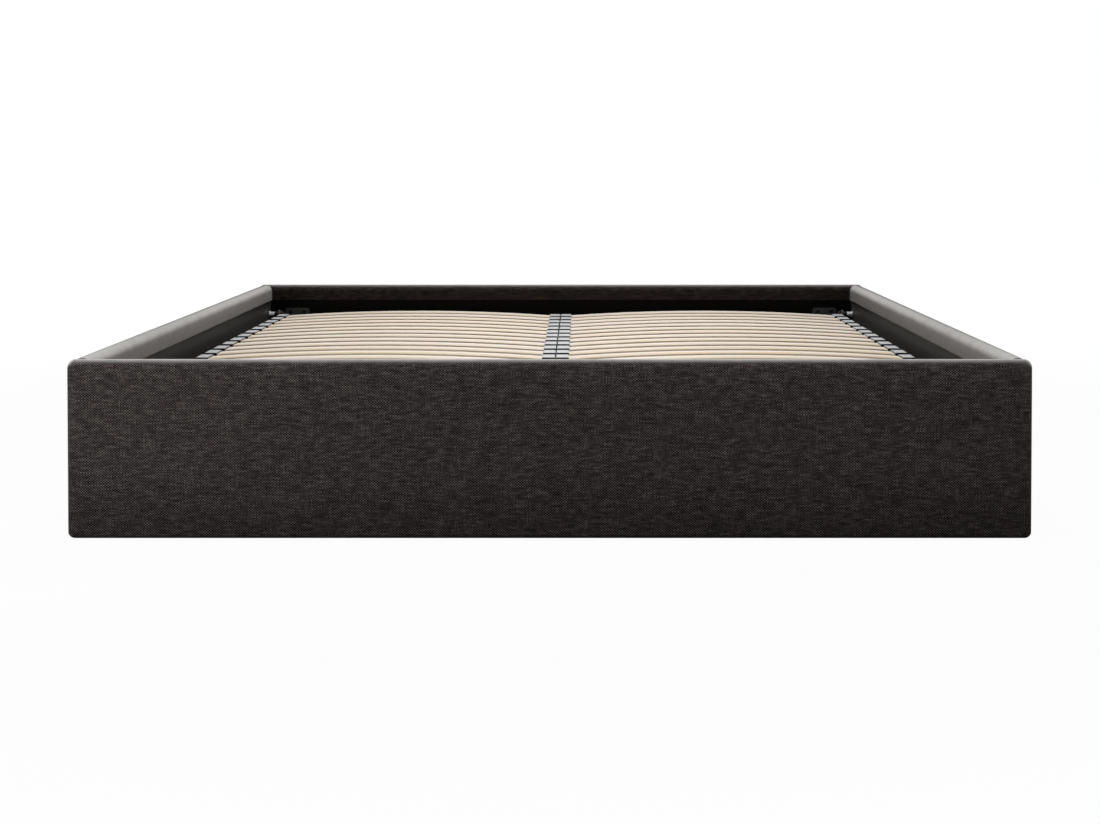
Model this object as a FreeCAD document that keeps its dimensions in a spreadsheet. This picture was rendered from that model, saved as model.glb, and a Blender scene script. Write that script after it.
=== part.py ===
import FreeCAD, Part
import os
import Sketcher

# Storage bed base: an upholstered box with a slatted platform that swings up on two gas struts.
# Millimetres. The origin is on the floor under the middle of the box, +X to the right seen
# from the foot, +Y from the foot to the head, +Z up.
doc = FreeCAD.newDocument("storage_bed_base")

# Driving dimensions.
SIZES = {
    # The mattress that the box is built round, and the four upholstered panels.
    "mattress_width": 1600,
    "mattress_length": 2000,
    "mattress_play": 2.5,
    "panel_height": 310,
    "board_thickness": 18,
    "outer_padding": 16,
    "top_padding": 10,
    "hem_thickness": 3.5,
    "hem_depth": 40,
    "bottom_wrap": 3,
    "corner_round": 13,
    "edge_round": 9,
    "cut_overrun": 2,
    # Glides under the floor ledges and the floor beam.
    "glide_height": 5,
    "glide_diameter": 20,
    "glide_inset": 60,
    # Storage floor.
    "ledge_width": 20,
    "ledge_height": 20,
    "beam_width": 60,
    "floor_thickness": 4,
    "floor_gap": 1.5,
    # Steel angles that tie the panels together at the corners.
    "bracket_leg": 34,
    "bracket_height": 110,
    "bracket_thickness": 3,
    "bracket_rise": 30,
    "bracket_bolt_spacing": 70,
    "bolt_diameter": 8,
    "bolt_head_diameter": 15,
    "bolt_head_height": 4,
    "bolt_bite": 12,
    # Plates behind the headboard bolts.
    "headboard_bolt_inset": 69.5,
    "headboard_bolt_hole": 9,
    "fixing_plate_width": 67,
    "fixing_plate_height": 80,
    "fixing_plate_thickness": 4,
    "fixing_plate_corner": 8,
    "fixing_plate_drop": 62,
    "fixing_screw_spread": 38,
    "fixing_screw_inset": 10,
    "screw_diameter": 5,
    "screw_head_diameter": 10,
    "screw_head_height": 2.5,
    "screw_bite": 13,
    # Slatted platform.
    "platform_side_gap": 28.5,
    "platform_end_gap": 25,
    "mattress_recess": 75,
    "tube_width": 30,
    "tube_height": 40,
    "tube_wall": 1.5,
    "tube_round": 3,
    "centre_tube_width": 60,
    "cross_tube_width": 20,
    "cross_tube_height": 30,
    "end_cap_thickness": 3,
    "end_cap_plug": 12,
    "slat_count": 19,
    "slat_width": 63,
    "slat_thickness": 8,
    "slat_crown": 14,
    "slat_clearance": 0.3,
    "slat_end_margin": 30.5,
    "holder_length": 28,
    "holder_height": 19,
    "holder_floor": 6,
    "holder_wall": 1.7,
    "holder_end_wall": 5,
    "holder_split": 2,
    "holder_round": 2,
    "peg_diameter": 10,
    "peg_length": 14,
    "peg_clearance": 0.2,
    # Ledge that carries the foot of the closed platform.
    "rest_height": 28,
    "rest_pad_height": 3,
    "rest_pad_diameter": 24,
    "rest_pad_gap": 0.2,
    # Lift hinge and gas struts.
    "lift_angle": 45,
    "pivot_back": 42.5,
    "pivot_drop": 2,
    "pin_diameter": 10,
    "pin_shoulder_diameter": 16,
    "pin_flange_diameter": 19,
    "pin_flange_height": 3,
    "pin_nut_width": 17,
    "pin_nut_height": 8,
    "pin_tail": 2,
    "running_clearance": 0.05,
    "side_clearance": 0.3,
    "lift_plate_thickness": 3,
    "lift_plate_lobe": 19,
    "arm_thickness": 4,
    "arm_lobe": 13,
    "arm_length": 68,
    "arm_inset": 5,
    "arm_shoulder": 26,
    "strut_base_ahead": 36,
    "strut_base_rise": 10,
    "strut_diameter": 20,
    "strut_wall": 1.5,
    "strut_lip": 1.5,
    "strut_base_cap": 4,
    "rod_diameter": 10,
    "rod_show": 6,
    "piston_height": 12,
    "piston_gap": 10,
    "seal_height": 14,
    "eye_diameter": 22,
    "eye_thickness": 8,
    "eye_neck": 18,
    "eye_neck_width": 15,
    "eye_socket": 7,
    "stud_head_height": 3,
}

# Where the main faces and axes lie, each worked out from the driving dimensions.
PLACES = {
    "inner_x": "sizes.mattress_width / 2 + sizes.mattress_play",
    "inner_y": "sizes.mattress_length / 2 + sizes.mattress_play",
    "board_face_x": "inner_x + sizes.hem_thickness",
    "board_face_y": "inner_y + sizes.hem_thickness",
    "board_back_x": "board_face_x + sizes.board_thickness",
    "board_back_y": "board_face_y + sizes.board_thickness",
    "outer_x": "board_back_x + sizes.outer_padding",
    "outer_y": "board_back_y + sizes.outer_padding",
    "panel_foot": "sizes.glide_height",
    "panel_top": "panel_foot + sizes.panel_height",
    "board_foot": "panel_foot + sizes.bottom_wrap",
    "board_top": "panel_top - sizes.top_padding",
    "hem_edge": "panel_top - sizes.hem_depth",
    "ledge_top": "panel_foot + sizes.ledge_height",
    "floor_top": "ledge_top + sizes.floor_thickness",
    "ledge_face_x": "board_face_x - sizes.ledge_width",
    "ledge_face_y": "board_face_y - sizes.ledge_width",
    "bracket_foot": "floor_top + sizes.bracket_rise",
    "bracket_middle": "bracket_foot + sizes.bracket_height / 2",
    "fixing_plate_top": "panel_top - sizes.fixing_plate_drop",
    "fixing_plate_foot": "fixing_plate_top - sizes.fixing_plate_height",
    "headboard_bolt_x": "inner_x - sizes.headboard_bolt_inset",
    "headboard_bolt_z": "(fixing_plate_top + fixing_plate_foot) / 2",
    "fixing_plate_face": "board_face_y - sizes.fixing_plate_thickness",
    "holder_top": "panel_top - sizes.mattress_recess",
    "tube_top": "holder_top - sizes.holder_height",
    "tube_foot": "tube_top - sizes.tube_height",
    "platform_x": "inner_x - sizes.platform_side_gap",
    "platform_y": "inner_y - sizes.platform_end_gap",
    "side_tube_x": "platform_x - sizes.tube_width",
    "end_tube_y": "platform_y - sizes.tube_width",
    "centre_tube_x": "sizes.centre_tube_width / 2",
    "cross_tube_y": "platform_y / 3",
    "holder_width": "sizes.slat_width + 2 * sizes.slat_clearance + 2 * sizes.holder_wall",
    "first_slat_y": "platform_y - sizes.slat_end_margin - holder_width / 2",
    "slat_pitch": "2 * first_slat_y / (sizes.slat_count - 1)",
    "inner_holder_x": "sizes.holder_split / 2",
    "outer_holder_x": "platform_x - sizes.holder_length",
    "slat_start_x": "inner_holder_x + sizes.holder_end_wall + sizes.slat_clearance",
    "slat_end_x": "platform_x - sizes.holder_end_wall - sizes.slat_clearance",
    "slat_length": "slat_end_x - slat_start_x",
    "slat_radius": "slat_length * slat_length / (8 * sizes.slat_crown) + sizes.slat_crown / 2",
    "slat_seat": "tube_top + sizes.holder_floor",
    "slat_end_foot": "slat_seat + sizes.slat_clearance",
    "slat_end_top": "slat_end_foot + sizes.slat_thickness",
    "slat_grip": "sizes.holder_length - sizes.holder_end_wall",
    "slat_rise": "4 * sizes.slat_crown * slat_grip * (slat_length - slat_grip) / (slat_length * slat_length)",
    "slat_roof": "slat_end_top + slat_rise + sizes.slat_clearance",
    "rest_top": "tube_foot - sizes.rest_pad_gap - sizes.rest_pad_height",
    "lift_plate_face": "board_face_x - sizes.lift_plate_thickness",
    "strut_x": "(platform_x + lift_plate_face) / 2",
    "pivot_y": "inner_y - sizes.pivot_back",
    "pivot_z": "holder_top - sizes.pivot_drop",
    "base_y": "pivot_y - sizes.strut_base_ahead",
    "base_z": "floor_top + sizes.strut_base_rise + sizes.lift_plate_lobe",
    # The two strut eyes lie equally far from the pivot, so a strut turns half as far as the platform.
    "reach": "sqrt((pivot_y - base_y) ^ 2 + (pivot_z - base_z) ^ 2)",
    "stud_z": "(tube_top + tube_foot) / 2",
    "stud_drop": "pivot_z - stud_z",
    "stud_ahead": "sqrt(reach ^ 2 - stud_drop ^ 2)",
    "stud_y": "pivot_y - stud_ahead",
    "strut_length": "sqrt((stud_y - base_y) ^ 2 + (stud_z - base_z) ^ 2)",
    "half_y": "pivot_y - stud_ahead * cos(sizes.lift_angle / 2) - stud_drop * sin(sizes.lift_angle / 2)",
    "half_z": "pivot_z + stud_ahead * sin(sizes.lift_angle / 2) - stud_drop * cos(sizes.lift_angle / 2)",
    "half_length": "sqrt((half_y - base_y) ^ 2 + (half_z - base_z) ^ 2)",
    "open_y": "pivot_y - stud_ahead * cos(sizes.lift_angle) - stud_drop * sin(sizes.lift_angle)",
    "open_z": "pivot_z + stud_ahead * sin(sizes.lift_angle) - stud_drop * cos(sizes.lift_angle)",
    "open_length": "sqrt((open_y - base_y) ^ 2 + (open_z - base_z) ^ 2)",
    "strut_stroke": "open_length - strut_length",
    # Halfway up, the stud runs this far past the straight-line stroke: the rod eye is slotted for it.
    "slot_travel": "half_length - (strut_length + open_length) / 2 + sizes.side_clearance",
    "bore_radius": "sizes.strut_diameter / 2 - sizes.strut_wall",
    "cylinder_foot": "sizes.eye_neck - sizes.strut_lip",
    "bore_foot": "cylinder_foot + sizes.strut_base_cap",
    "rod_eye_foot": "strut_length - sizes.eye_neck",
    "cylinder_top": "rod_eye_foot - sizes.rod_show",
    "piston_foot": "bore_foot + sizes.piston_gap",
}

sizes = doc.addObject("Spreadsheet::Sheet", "sizes")
for line, (name, number) in enumerate(SIZES.items(), 1):
    sizes.set(f"A{line}", name)
    sizes.set(f"B{line}", str(number))
    sizes.setAlias(f"B{line}", name)
doc.recompute()

places = doc.addObject("App::VarSet", "places")
for name, formula in PLACES.items():
    places.addProperty("App::PropertyFloat", name)
    places.setExpression(name, formula)
doc.recompute()

RIGHT_AND_LEFT = (("right", 1), ("left", -1))
HEAD_AND_FOOT = (("head", 1), ("foot", -1))
X_AXIS = FreeCAD.Vector(1, 0, 0)
Y_AXIS = FreeCAD.Vector(0, 1, 0)
FULL_TURN = 360
nodes = []


def value(expression):
    """The number that an expression over the sizes and places comes to."""
    return float(sizes.evalExpression(expression))


def keep(piece):
    """Counts an object among the named pieces of the bed."""
    nodes.append(piece)
    return piece


def block(label, x, y, z):
    """A square-edged piece between two planes along each axis."""
    piece = doc.addObject("Part::Box", label)
    for side, axis, (low, high) in (("Length", "x", x), ("Width", "y", y), ("Height", "z", z)):
        piece.setExpression(side, f"({high}) - ({low})")
        piece.setExpression(f"Placement.Base.{axis}", low)
    return piece


def sided(side, low, high):
    """The two planes of a piece that is mirrored to the other side where side is -1."""
    return (low, high) if side > 0 else (f"-({high})", f"-({low})")


def place(piece, x, y, z):
    """Binds where a piece stands."""
    for axis, expression in (("x", x), ("y", y), ("z", z)):
        piece.setExpression(f"Placement.Base.{axis}", expression)
    return piece


def drum(label, radius, height, start="0"):
    """A round bar along its own Z axis, from start upwards."""
    piece = doc.addObject("Part::Cylinder", label)
    piece.setExpression("Radius", radius)
    piece.setExpression("Height", height)
    piece.setExpression("Placement.Base.z", start)
    return piece


def group(label, pieces):
    """Like pieces that share one node as separate solids."""
    bundle = doc.addObject("Part::Compound", label)
    bundle.Links = pieces
    return keep(bundle)


def new_body(label):
    """An empty body, whose features follow."""
    return doc.addObject("PartDesign::Body", label)


def datum(piece, role):
    """One of a body's own origin planes or axes."""
    return next(feature for feature in piece.Origin.OriginFeatures if feature.Role == role)


def hold(sketch, constraint, expression):
    """Adds a measured constraint to a sketch and binds its size."""
    number = sketch.addConstraint(constraint)
    sketch.setExpression(f"Constraints[{number}]", expression)


def pin_point(sketch, edge, end, across, up):
    """Holds a point of a sketch at its two distances from the sketch's origin."""
    hold(sketch, Sketcher.Constraint("DistanceX", -1, 1, edge, end, value(across)), across)
    hold(sketch, Sketcher.Constraint("DistanceY", -1, 1, edge, end, value(up)), up)


def bend(start, end, radius, turn):
    """An arc under a half circle from start to end, turning left where turn is 1, right where -1."""
    chord = end - start
    left = FreeCAD.Vector(-chord.y, chord.x, 0).normalize()
    depth = (radius ** 2 - (chord.Length / 2) ** 2) ** 0.5 - radius
    return Part.Arc(start, (start + end) / 2 + left * (turn * depth), end)


def draw_loop(sketch, corners):
    """A closed outline through corners (across, up); a radius and turn after them bend the next run."""
    points = [FreeCAD.Vector(value(corner[0]), value(corner[1]), 0) for corner in corners]
    runs = []
    for index, corner in enumerate(corners):
        start = points[index]
        end = points[(index + 1) % len(points)]
        bent = len(corner) > 2
        curve = bend(start, end, value(corner[2]), corner[3]) if bent else Part.LineSegment(start, end)
        runs.append(sketch.addGeometry(curve))

    def end_at(run, point):
        return min((1, 2), key=lambda end: (sketch.getPoint(run, end) - point).Length)

    for index, corner in enumerate(corners):
        run = runs[index]
        here = end_at(run, points[index])
        before = end_at(runs[index - 1], points[index])
        sketch.addConstraint(Sketcher.Constraint("Coincident", runs[index - 1], before, run, here))
        pin_point(sketch, run, here, corner[0], corner[1])
        if len(corner) > 2:
            hold(sketch, Sketcher.Constraint("Radius", run, value(corner[2])), corner[2])


def draw_circle(sketch, across, up, diameter):
    """A round hole or bar in a sketch."""
    middle = FreeCAD.Vector(value(across), value(up), 0)
    ring = sketch.addGeometry(Part.Circle(middle, FreeCAD.Vector(0, 0, 1), value(diameter) / 2))
    pin_point(sketch, ring, 3, across, up)
    hold(sketch, Sketcher.Constraint("Diameter", ring, value(diameter)), diameter)


def outline(piece, plane, loops, offset="0", circles=()):
    """A sketch on one of the body's origin planes, moved along the plane's normal by offset."""
    sketch = piece.newObject("Sketcher::SketchObject", f"{piece.Name}_outline")
    sketch.AttachmentSupport = [(datum(piece, plane), "")]
    sketch.MapMode = "FlatFace"
    sketch.setExpression("AttachmentOffset.Base.z", offset)
    for corners in loops:
        draw_loop(sketch, corners)
    for across, up, diameter in circles:
        draw_circle(sketch, across, up, diameter)
    doc.recompute()
    return sketch


def rectangle(low_across, high_across, low_up, high_up):
    """The corners of a plain rectangle."""
    return [(low_across, low_up), (high_across, low_up), (high_across, high_up), (low_across, high_up)]


def rounded(low_across, high_across, low_up, high_up, radius):
    """The corners of a rectangle whose corners are rounded."""
    return [
        (f"{low_across} + {radius}", low_up),
        (f"{high_across} - {radius}", low_up, radius, 1),
        (high_across, f"{low_up} + {radius}"),
        (high_across, f"{high_up} - {radius}", radius, 1),
        (f"{high_across} - {radius}", high_up),
        (f"{low_across} + {radius}", high_up, radius, 1),
        (low_across, f"{high_up} - {radius}"),
        (low_across, f"{low_up} + {radius}", radius, 1),
    ]


def stadium(radius, low_up, high_up):
    """The corners of an upright slot shape: two half circles joined by straight sides."""
    return [
        (radius, low_up),
        (radius, high_up, radius, 1),
        ("0", f"{high_up} + {radius}", radius, 1),
        (f"-{radius}", high_up),
        (f"-{radius}", low_up, radius, 1),
        ("0", f"{low_up} - {radius}", radius, 1),
    ]


def pad(piece, sketch, length, backwards=False, both_ways=False):
    """Thickens an outline along its normal."""
    feature = piece.newObject("PartDesign::Pad", f"{piece.Name}_pad")
    feature.Profile = sketch
    feature.Reversed = backwards
    feature.SideType = "Symmetric" if both_ways else "One side"
    feature.setExpression("Length", length)
    doc.recompute()
    return feature


def pocket(piece, sketch, depth, backwards=False):
    """Cuts an outline into the body, and makes sure that something was cut."""
    before = piece.Shape.Volume
    feature = piece.newObject("PartDesign::Pocket", f"{piece.Name}_pocket")
    feature.Profile = sketch
    feature.Reversed = backwards
    feature.setExpression("Length", depth)
    doc.recompute()
    if feature.Shape.Volume >= before:
        raise RuntimeError(f"{feature.Label} cut nothing")
    return feature


def turned(piece, corners, plane, axis):
    """Spins a profile about one of its sketch's own axes."""
    sketch = outline(piece, plane, [corners])
    feature = piece.newObject("PartDesign::Revolution", f"{piece.Name}_turning")
    feature.Profile = sketch
    feature.ReferenceAxis = (sketch, [axis])
    feature.Angle = FULL_TURN
    doc.recompute()
    return feature


def row(piece, axis, spacing, count, features=()):
    """Repeats the whole body, or only the features given, along one of its axes."""
    pattern = piece.newObject("PartDesign::LinearPattern", f"{piece.Name}_row")
    if features:
        pattern.Originals = list(features)
    else:
        pattern.TransformMode = "Whole shape"
    pattern.Direction = (datum(piece, axis), [""])
    pattern.Mode = "Spacing"
    pattern.setExpression("Offset", spacing)
    pattern.setExpression("Occurrences", count)
    piece.Tip = pattern
    doc.recompute()
    return pattern


def soften(piece, feature, radius, chosen):
    """Rounds the edges of a feature that the test picks out."""
    edges = [f"Edge{number}" for number, edge in enumerate(feature.Shape.Edges, 1) if chosen(edge.BoundBox)]
    rounding = piece.newObject("PartDesign::Fillet", f"{piece.Name}_rounding")
    rounding.Base = (feature, edges)
    rounding.setExpression("Radius", radius)
    doc.recompute()
    return rounding


def lies_at(low, high, level):
    """Whether an edge lies in the plane at that level, to within a small share of its distance."""
    tolerance_share = 1e-6
    allowed = abs(level) * tolerance_share
    return abs(low - level) < allowed and abs(high - level) < allowed


# Panel boards: chipboard faced in dark grey. The head and foot boards run the full width and the
# side boards stand between them. The head board is drilled for the headboard bolts.
head_board = keep(new_body("head_board"))
bolt_holes = [
    (f"{side} * places.headboard_bolt_x", "places.headboard_bolt_z", "sizes.headboard_bolt_hole")
    for _, side in RIGHT_AND_LEFT
]
board_rise = ("places.board_foot", "places.board_top")
board_shape = rectangle("-places.board_back_x", "places.board_back_x", *board_rise)
head_face = outline(head_board, "XZ_Plane", [board_shape], "-places.board_face_y", bolt_holes)
pad(head_board, head_face, "sizes.board_thickness", backwards=True)
keep(block(
    "foot_board",
    ("-places.board_back_x", "places.board_back_x"),
    ("-places.board_back_y", "-places.board_face_y"),
    board_rise,
))
for name, side in RIGHT_AND_LEFT:
    thickness = sided(side, "places.board_face_x", "places.board_back_x")
    keep(block(f"{name}_board", thickness, ("-places.inner_y", "places.inner_y"), board_rise))


def end_cover(name, end):
    """Padded fabric round the head or foot board: over the top, round both ends and hemmed inside."""
    cover = keep(new_body(f"{name}_cover"))
    outer = f"{end} * places.outer_y"
    face = rounded(
        "-places.outer_x", "places.outer_x", "places.panel_foot", "places.panel_top", "sizes.corner_round"
    )
    sketch = outline(cover, "XZ_Plane", [face], f"-({outer})")
    blank = pad(cover, sketch, "places.outer_y - places.inner_y", backwards=end < 0)
    levels = [end * value("places.outer_y"), end * value("places.inner_y")]
    soften(
        cover,
        blank,
        "sizes.edge_round",
        lambda box: any(lies_at(box.YMin, box.YMax, level) for level in levels),
    )
    window = rectangle(
        "-places.board_face_x",
        "places.board_face_x",
        "places.panel_foot - sizes.cut_overrun",
        "places.hem_edge",
    )
    opening = outline(cover, "XZ_Plane", [window], f"-({end} * places.board_face_y)")
    pocket(cover, opening, "sizes.hem_thickness + sizes.cut_overrun", backwards=end > 0)
    hollow = outline(cover, "XZ_Plane", [board_shape], f"-({end} * places.board_face_y)")
    pocket(cover, hollow, "sizes.board_thickness", backwards=end < 0)
    if name == "head":
        drilled = outline(cover, "XZ_Plane", [], f"-({end} * places.board_back_y)", bolt_holes)
        pocket(cover, drilled, "sizes.outer_padding + sizes.cut_overrun", backwards=end < 0)


for name, end in HEAD_AND_FOOT:
    end_cover(name, end)


def side_cover(name, side):
    """Padded fabric round a side board: a channel section with its hem on the inner face."""
    def across(expression):
        return f"{side} * ({expression})"

    def corner(x, z):
        return (across(x), z)

    def curve(x, z, radius):
        return (across(x), z, radius, -side)

    section = [
        corner("places.inner_x", "places.hem_edge"),
        curve("places.inner_x", "places.panel_top - sizes.edge_round", "sizes.edge_round"),
        corner("places.inner_x + sizes.edge_round", "places.panel_top"),
        curve("places.outer_x - sizes.corner_round", "places.panel_top", "sizes.corner_round"),
        corner("places.outer_x", "places.panel_top - sizes.corner_round"),
        curve("places.outer_x", "places.panel_foot + sizes.corner_round", "sizes.corner_round"),
        corner("places.outer_x - sizes.corner_round", "places.panel_foot"),
        corner("places.board_face_x", "places.panel_foot"),
        corner("places.board_face_x", "places.board_foot"),
        corner("places.board_back_x", "places.board_foot"),
        corner("places.board_back_x", "places.board_top"),
        corner("places.board_face_x", "places.board_top"),
        corner("places.board_face_x", "places.hem_edge"),
    ]
    cover = keep(new_body(f"{name}_cover"))
    pad(cover, outline(cover, "XZ_Plane", [section]), "2 * places.inner_y", both_ways=True)


for name, side in RIGHT_AND_LEFT:
    side_cover(name, side)

# Glides: plastic buttons under the floor ledges and under the floor beam that carry the whole bed.
third_share = 1 / 3
glide_x = "(places.outer_x - sizes.glide_inset)"
ledge_middle_x = "((places.ledge_face_x + places.board_face_x) / 2)"
ledge_middle_y = "((places.ledge_face_y + places.board_face_y) / 2)"
glide_spots = [
    (f"{across} * {glide_x}", f"{end} * {ledge_middle_y}")
    for across in (-1, -third_share, third_share, 1)
    for _, end in HEAD_AND_FOOT
]
glide_spots += [
    (f"{side} * {ledge_middle_x}", f"{along} * places.inner_y")
    for _, side in RIGHT_AND_LEFT
    for along in (-third_share, third_share)
]
glide_spots += [("0", f"{along} * places.ledge_face_y") for along in (-third_share, third_share)]
group("glides", [
    place(drum(f"glide_{number}", "sizes.glide_diameter / 2", "sizes.glide_height"), x, y, "0")
    for number, (x, y) in enumerate(glide_spots, 1)
])

# Storage floor: battens screwed round the foot of the boards, a beam and two cross battens between
# them, and four hardboard panels laid on top.
ledge_rise = ("places.panel_foot", "places.ledge_top")
for name, side in RIGHT_AND_LEFT:
    width = sided(side, "places.ledge_face_x", "places.board_face_x")
    keep(block(f"{name}_floor_ledge", width, ("-places.board_face_y", "places.board_face_y"), ledge_rise))
for name, end in HEAD_AND_FOOT:
    depth = sided(end, "places.ledge_face_y", "places.board_face_y")
    keep(block(f"{name}_floor_ledge", ("-places.ledge_face_x", "places.ledge_face_x"), depth, ledge_rise))
beam_x = "sizes.beam_width / 2"
keep(block("floor_beam", (f"-{beam_x}", beam_x), ("-places.ledge_face_y", "places.ledge_face_y"), ledge_rise))
group("floor_cross_battens", [
    block(
        f"{name}_cross_batten",
        sided(side, beam_x, "places.ledge_face_x"),
        ("-sizes.ledge_width", "sizes.ledge_width"),
        ledge_rise,
    )
    for name, side in RIGHT_AND_LEFT
])
for end_name, end in HEAD_AND_FOOT:
    for name, side in RIGHT_AND_LEFT:
        keep(block(
            f"{end_name}_{name}_floor_panel",
            sided(side, "sizes.floor_gap / 2", "places.board_face_x - sizes.floor_gap"),
            sided(end, "sizes.floor_gap / 2", "places.board_face_y - sizes.floor_gap"),
            ("places.ledge_top", "places.floor_top"),
        ))


def fastener(label, diameter, length, head_diameter, head_height, turn_axis, degrees):
    """A headed bolt or screw: its head stands out of the seat, its shank runs back into the work."""
    shank = drum(f"{label}_shank", f"{diameter} / 2", length, f"-({length})")
    head = drum(f"{label}_head", f"{head_diameter} / 2", head_height)
    whole = doc.addObject("Part::Fuse", label)
    whole.Base = shank
    whole.Tool = head
    whole.Placement = FreeCAD.Placement(FreeCAD.Vector(), FreeCAD.Rotation(turn_axis, degrees))
    return whole


def corner_bracket(label, side, end):
    """A steel angle in one inner corner of the box, drilled twice through each leg."""
    x_face = f"{side} * places.board_face_x"
    y_face = f"{end} * places.board_face_y"
    inset = "sizes.bracket_thickness"
    leg = "sizes.bracket_leg"
    angle = [
        (x_face, y_face),
        (f"{x_face} - {side} * {leg}", y_face),
        (f"{x_face} - {side} * {leg}", f"{y_face} - {end} * {inset}"),
        (f"{x_face} - {side} * {inset}", f"{y_face} - {end} * {inset}"),
        (f"{x_face} - {side} * {inset}", f"{y_face} - {end} * {leg}"),
        (x_face, f"{y_face} - {end} * {leg}"),
    ]
    bracket = new_body(label)
    pad(bracket, outline(bracket, "XY_Plane", [angle], "places.bracket_foot"), "sizes.bracket_height")
    hole = "sizes.bolt_diameter + 2 * sizes.peg_clearance"
    deep = "sizes.bracket_thickness + sizes.cut_overrun"
    side_holes = [(f"{y_face} - {end} * {BRACKET_HOLE}", z, hole) for z in BRACKET_HOLE_HEIGHTS]
    end_holes = [(f"{x_face} - {side} * {BRACKET_HOLE}", z, hole) for z in BRACKET_HOLE_HEIGHTS]
    pocket(bracket, outline(bracket, "YZ_Plane", [], x_face, side_holes), deep, backwards=side < 0)
    pocket(bracket, outline(bracket, "XZ_Plane", [], f"-({y_face})", end_holes), deep, backwards=end > 0)
    return bracket


def corner_bolts(label, side, end):
    """The four bolts of one corner: two into the side board and two into the end board."""
    x_seat = f"{side} * (places.board_face_x - sizes.bracket_thickness)"
    y_seat = f"{end} * (places.board_face_y - sizes.bracket_thickness)"
    x_hole = f"{side} * (places.board_face_x - {BRACKET_HOLE})"
    y_hole = f"{end} * (places.board_face_y - {BRACKET_HOLE})"
    shape = (
        "sizes.bolt_diameter", "sizes.bolt_bite + sizes.bracket_thickness", "sizes.bolt_head_diameter",
        "sizes.bolt_head_height"
    )
    bolts = []
    for level, z in zip(("low", "high"), BRACKET_HOLE_HEIGHTS):
        into_side = fastener(f"{label}_side_{level}", *shape, Y_AXIS, -QUARTER_TURN * side)
        into_end = fastener(f"{label}_end_{level}", *shape, X_AXIS, QUARTER_TURN * end)
        bolts += [place(into_side, x_seat, y_hole, z), place(into_end, x_hole, y_seat, z)]
    return bolts


# Corner angles and their bolts: the side boards hang on the head and foot boards by these.
QUARTER_TURN = 90
BRACKET_HOLE = "(sizes.bracket_thickness + sizes.bracket_leg) / 2"
BRACKET_HOLE_HEIGHTS = [f"places.bracket_middle {sign} sizes.bracket_bolt_spacing / 2" for sign in "-+"]
corners = [
    (f"{end_name}_{side_name}", side, end)
    for end_name, end in HEAD_AND_FOOT
    for side_name, side in RIGHT_AND_LEFT
]
group("corner_brackets", [corner_bracket(f"{name}_bracket", side, end) for name, side, end in corners])
group("corner_bolts", [
    bolt for name, side, end in corners for bolt in corner_bolts(f"{name}_bolt", side, end)
])


def fixing_plate(name, side):
    """A steel plate inside the head board that spreads the load of one headboard bolt."""
    middle = f"{side} * places.headboard_bolt_x"
    half_width = "sizes.fixing_plate_width / 2"
    face = rounded(
        f"({middle} - {half_width})", f"({middle} + {half_width})", "places.fixing_plate_foot",
        "places.fixing_plate_top", "sizes.fixing_plate_corner"
    )
    holes = [(x, z, "sizes.screw_diameter + 2 * sizes.peg_clearance") for x, z in fixing_screw_spots(side)]
    holes.append((middle, "places.headboard_bolt_z", "sizes.headboard_bolt_hole"))
    plate = keep(new_body(f"{name}_fixing_plate"))
    sketch = outline(plate, "XZ_Plane", [face], "-places.board_face_y", holes)
    pad(plate, sketch, "sizes.fixing_plate_thickness")


def fixing_screw_spots(side):
    """Where the four screws of a fixing plate sit."""
    middle = f"{side} * places.headboard_bolt_x"
    return [
        (f"{middle} {sign} sizes.fixing_screw_spread / 2", z)
        for sign in "-+"
        for z in (
            "places.fixing_plate_top - sizes.fixing_screw_inset",
            "places.fixing_plate_foot + sizes.fixing_screw_inset",
        )
    ]


# Fixing plates for a headboard and their screws, on the inner face of the head board.
SCREW_HEAD = ("sizes.screw_head_diameter", "sizes.screw_head_height")
for name, side in RIGHT_AND_LEFT:
    fixing_plate(name, side)
fixing_screws = []
for name, side in RIGHT_AND_LEFT:
    for number, (x, z) in enumerate(fixing_screw_spots(side), 1):
        depth = "sizes.screw_bite + sizes.fixing_plate_thickness"
        screw = fastener(
            f"{name}_fixing_screw_{number}", "sizes.screw_diameter", depth, *SCREW_HEAD, X_AXIS, QUARTER_TURN
        )
        fixing_screws.append(place(screw, x, "places.fixing_plate_face", z))
group("fixing_plate_screws", fixing_screws)


def tube_section(low_across, high_across, low_up, high_up):
    """The two outlines of a square steel tube: rounded outside, square inside."""
    wall = "sizes.tube_wall"
    outside = rounded(low_across, high_across, low_up, high_up, "sizes.tube_round")
    inside = rectangle(
        f"{low_across} + {wall}", f"{high_across} - {wall}", f"{low_up} + {wall}", f"{high_up} - {wall}"
    )
    return [outside, inside]


def drill_pegs(tube, peg_places):
    """Drills the holes for the slat holders' pegs through the top wall of a tube."""
    hole = "sizes.peg_diameter + 2 * sizes.peg_clearance"
    first = [(x, "-places.first_slat_y", hole) for x in peg_places]
    sketch = outline(tube, "XY_Plane", [], "places.tube_top", first)
    drilled = pocket(tube, sketch, "sizes.tube_wall + sizes.cut_overrun")
    row(tube, "Y_Axis", "places.slat_pitch", "sizes.slat_count", [drilled])


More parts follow.
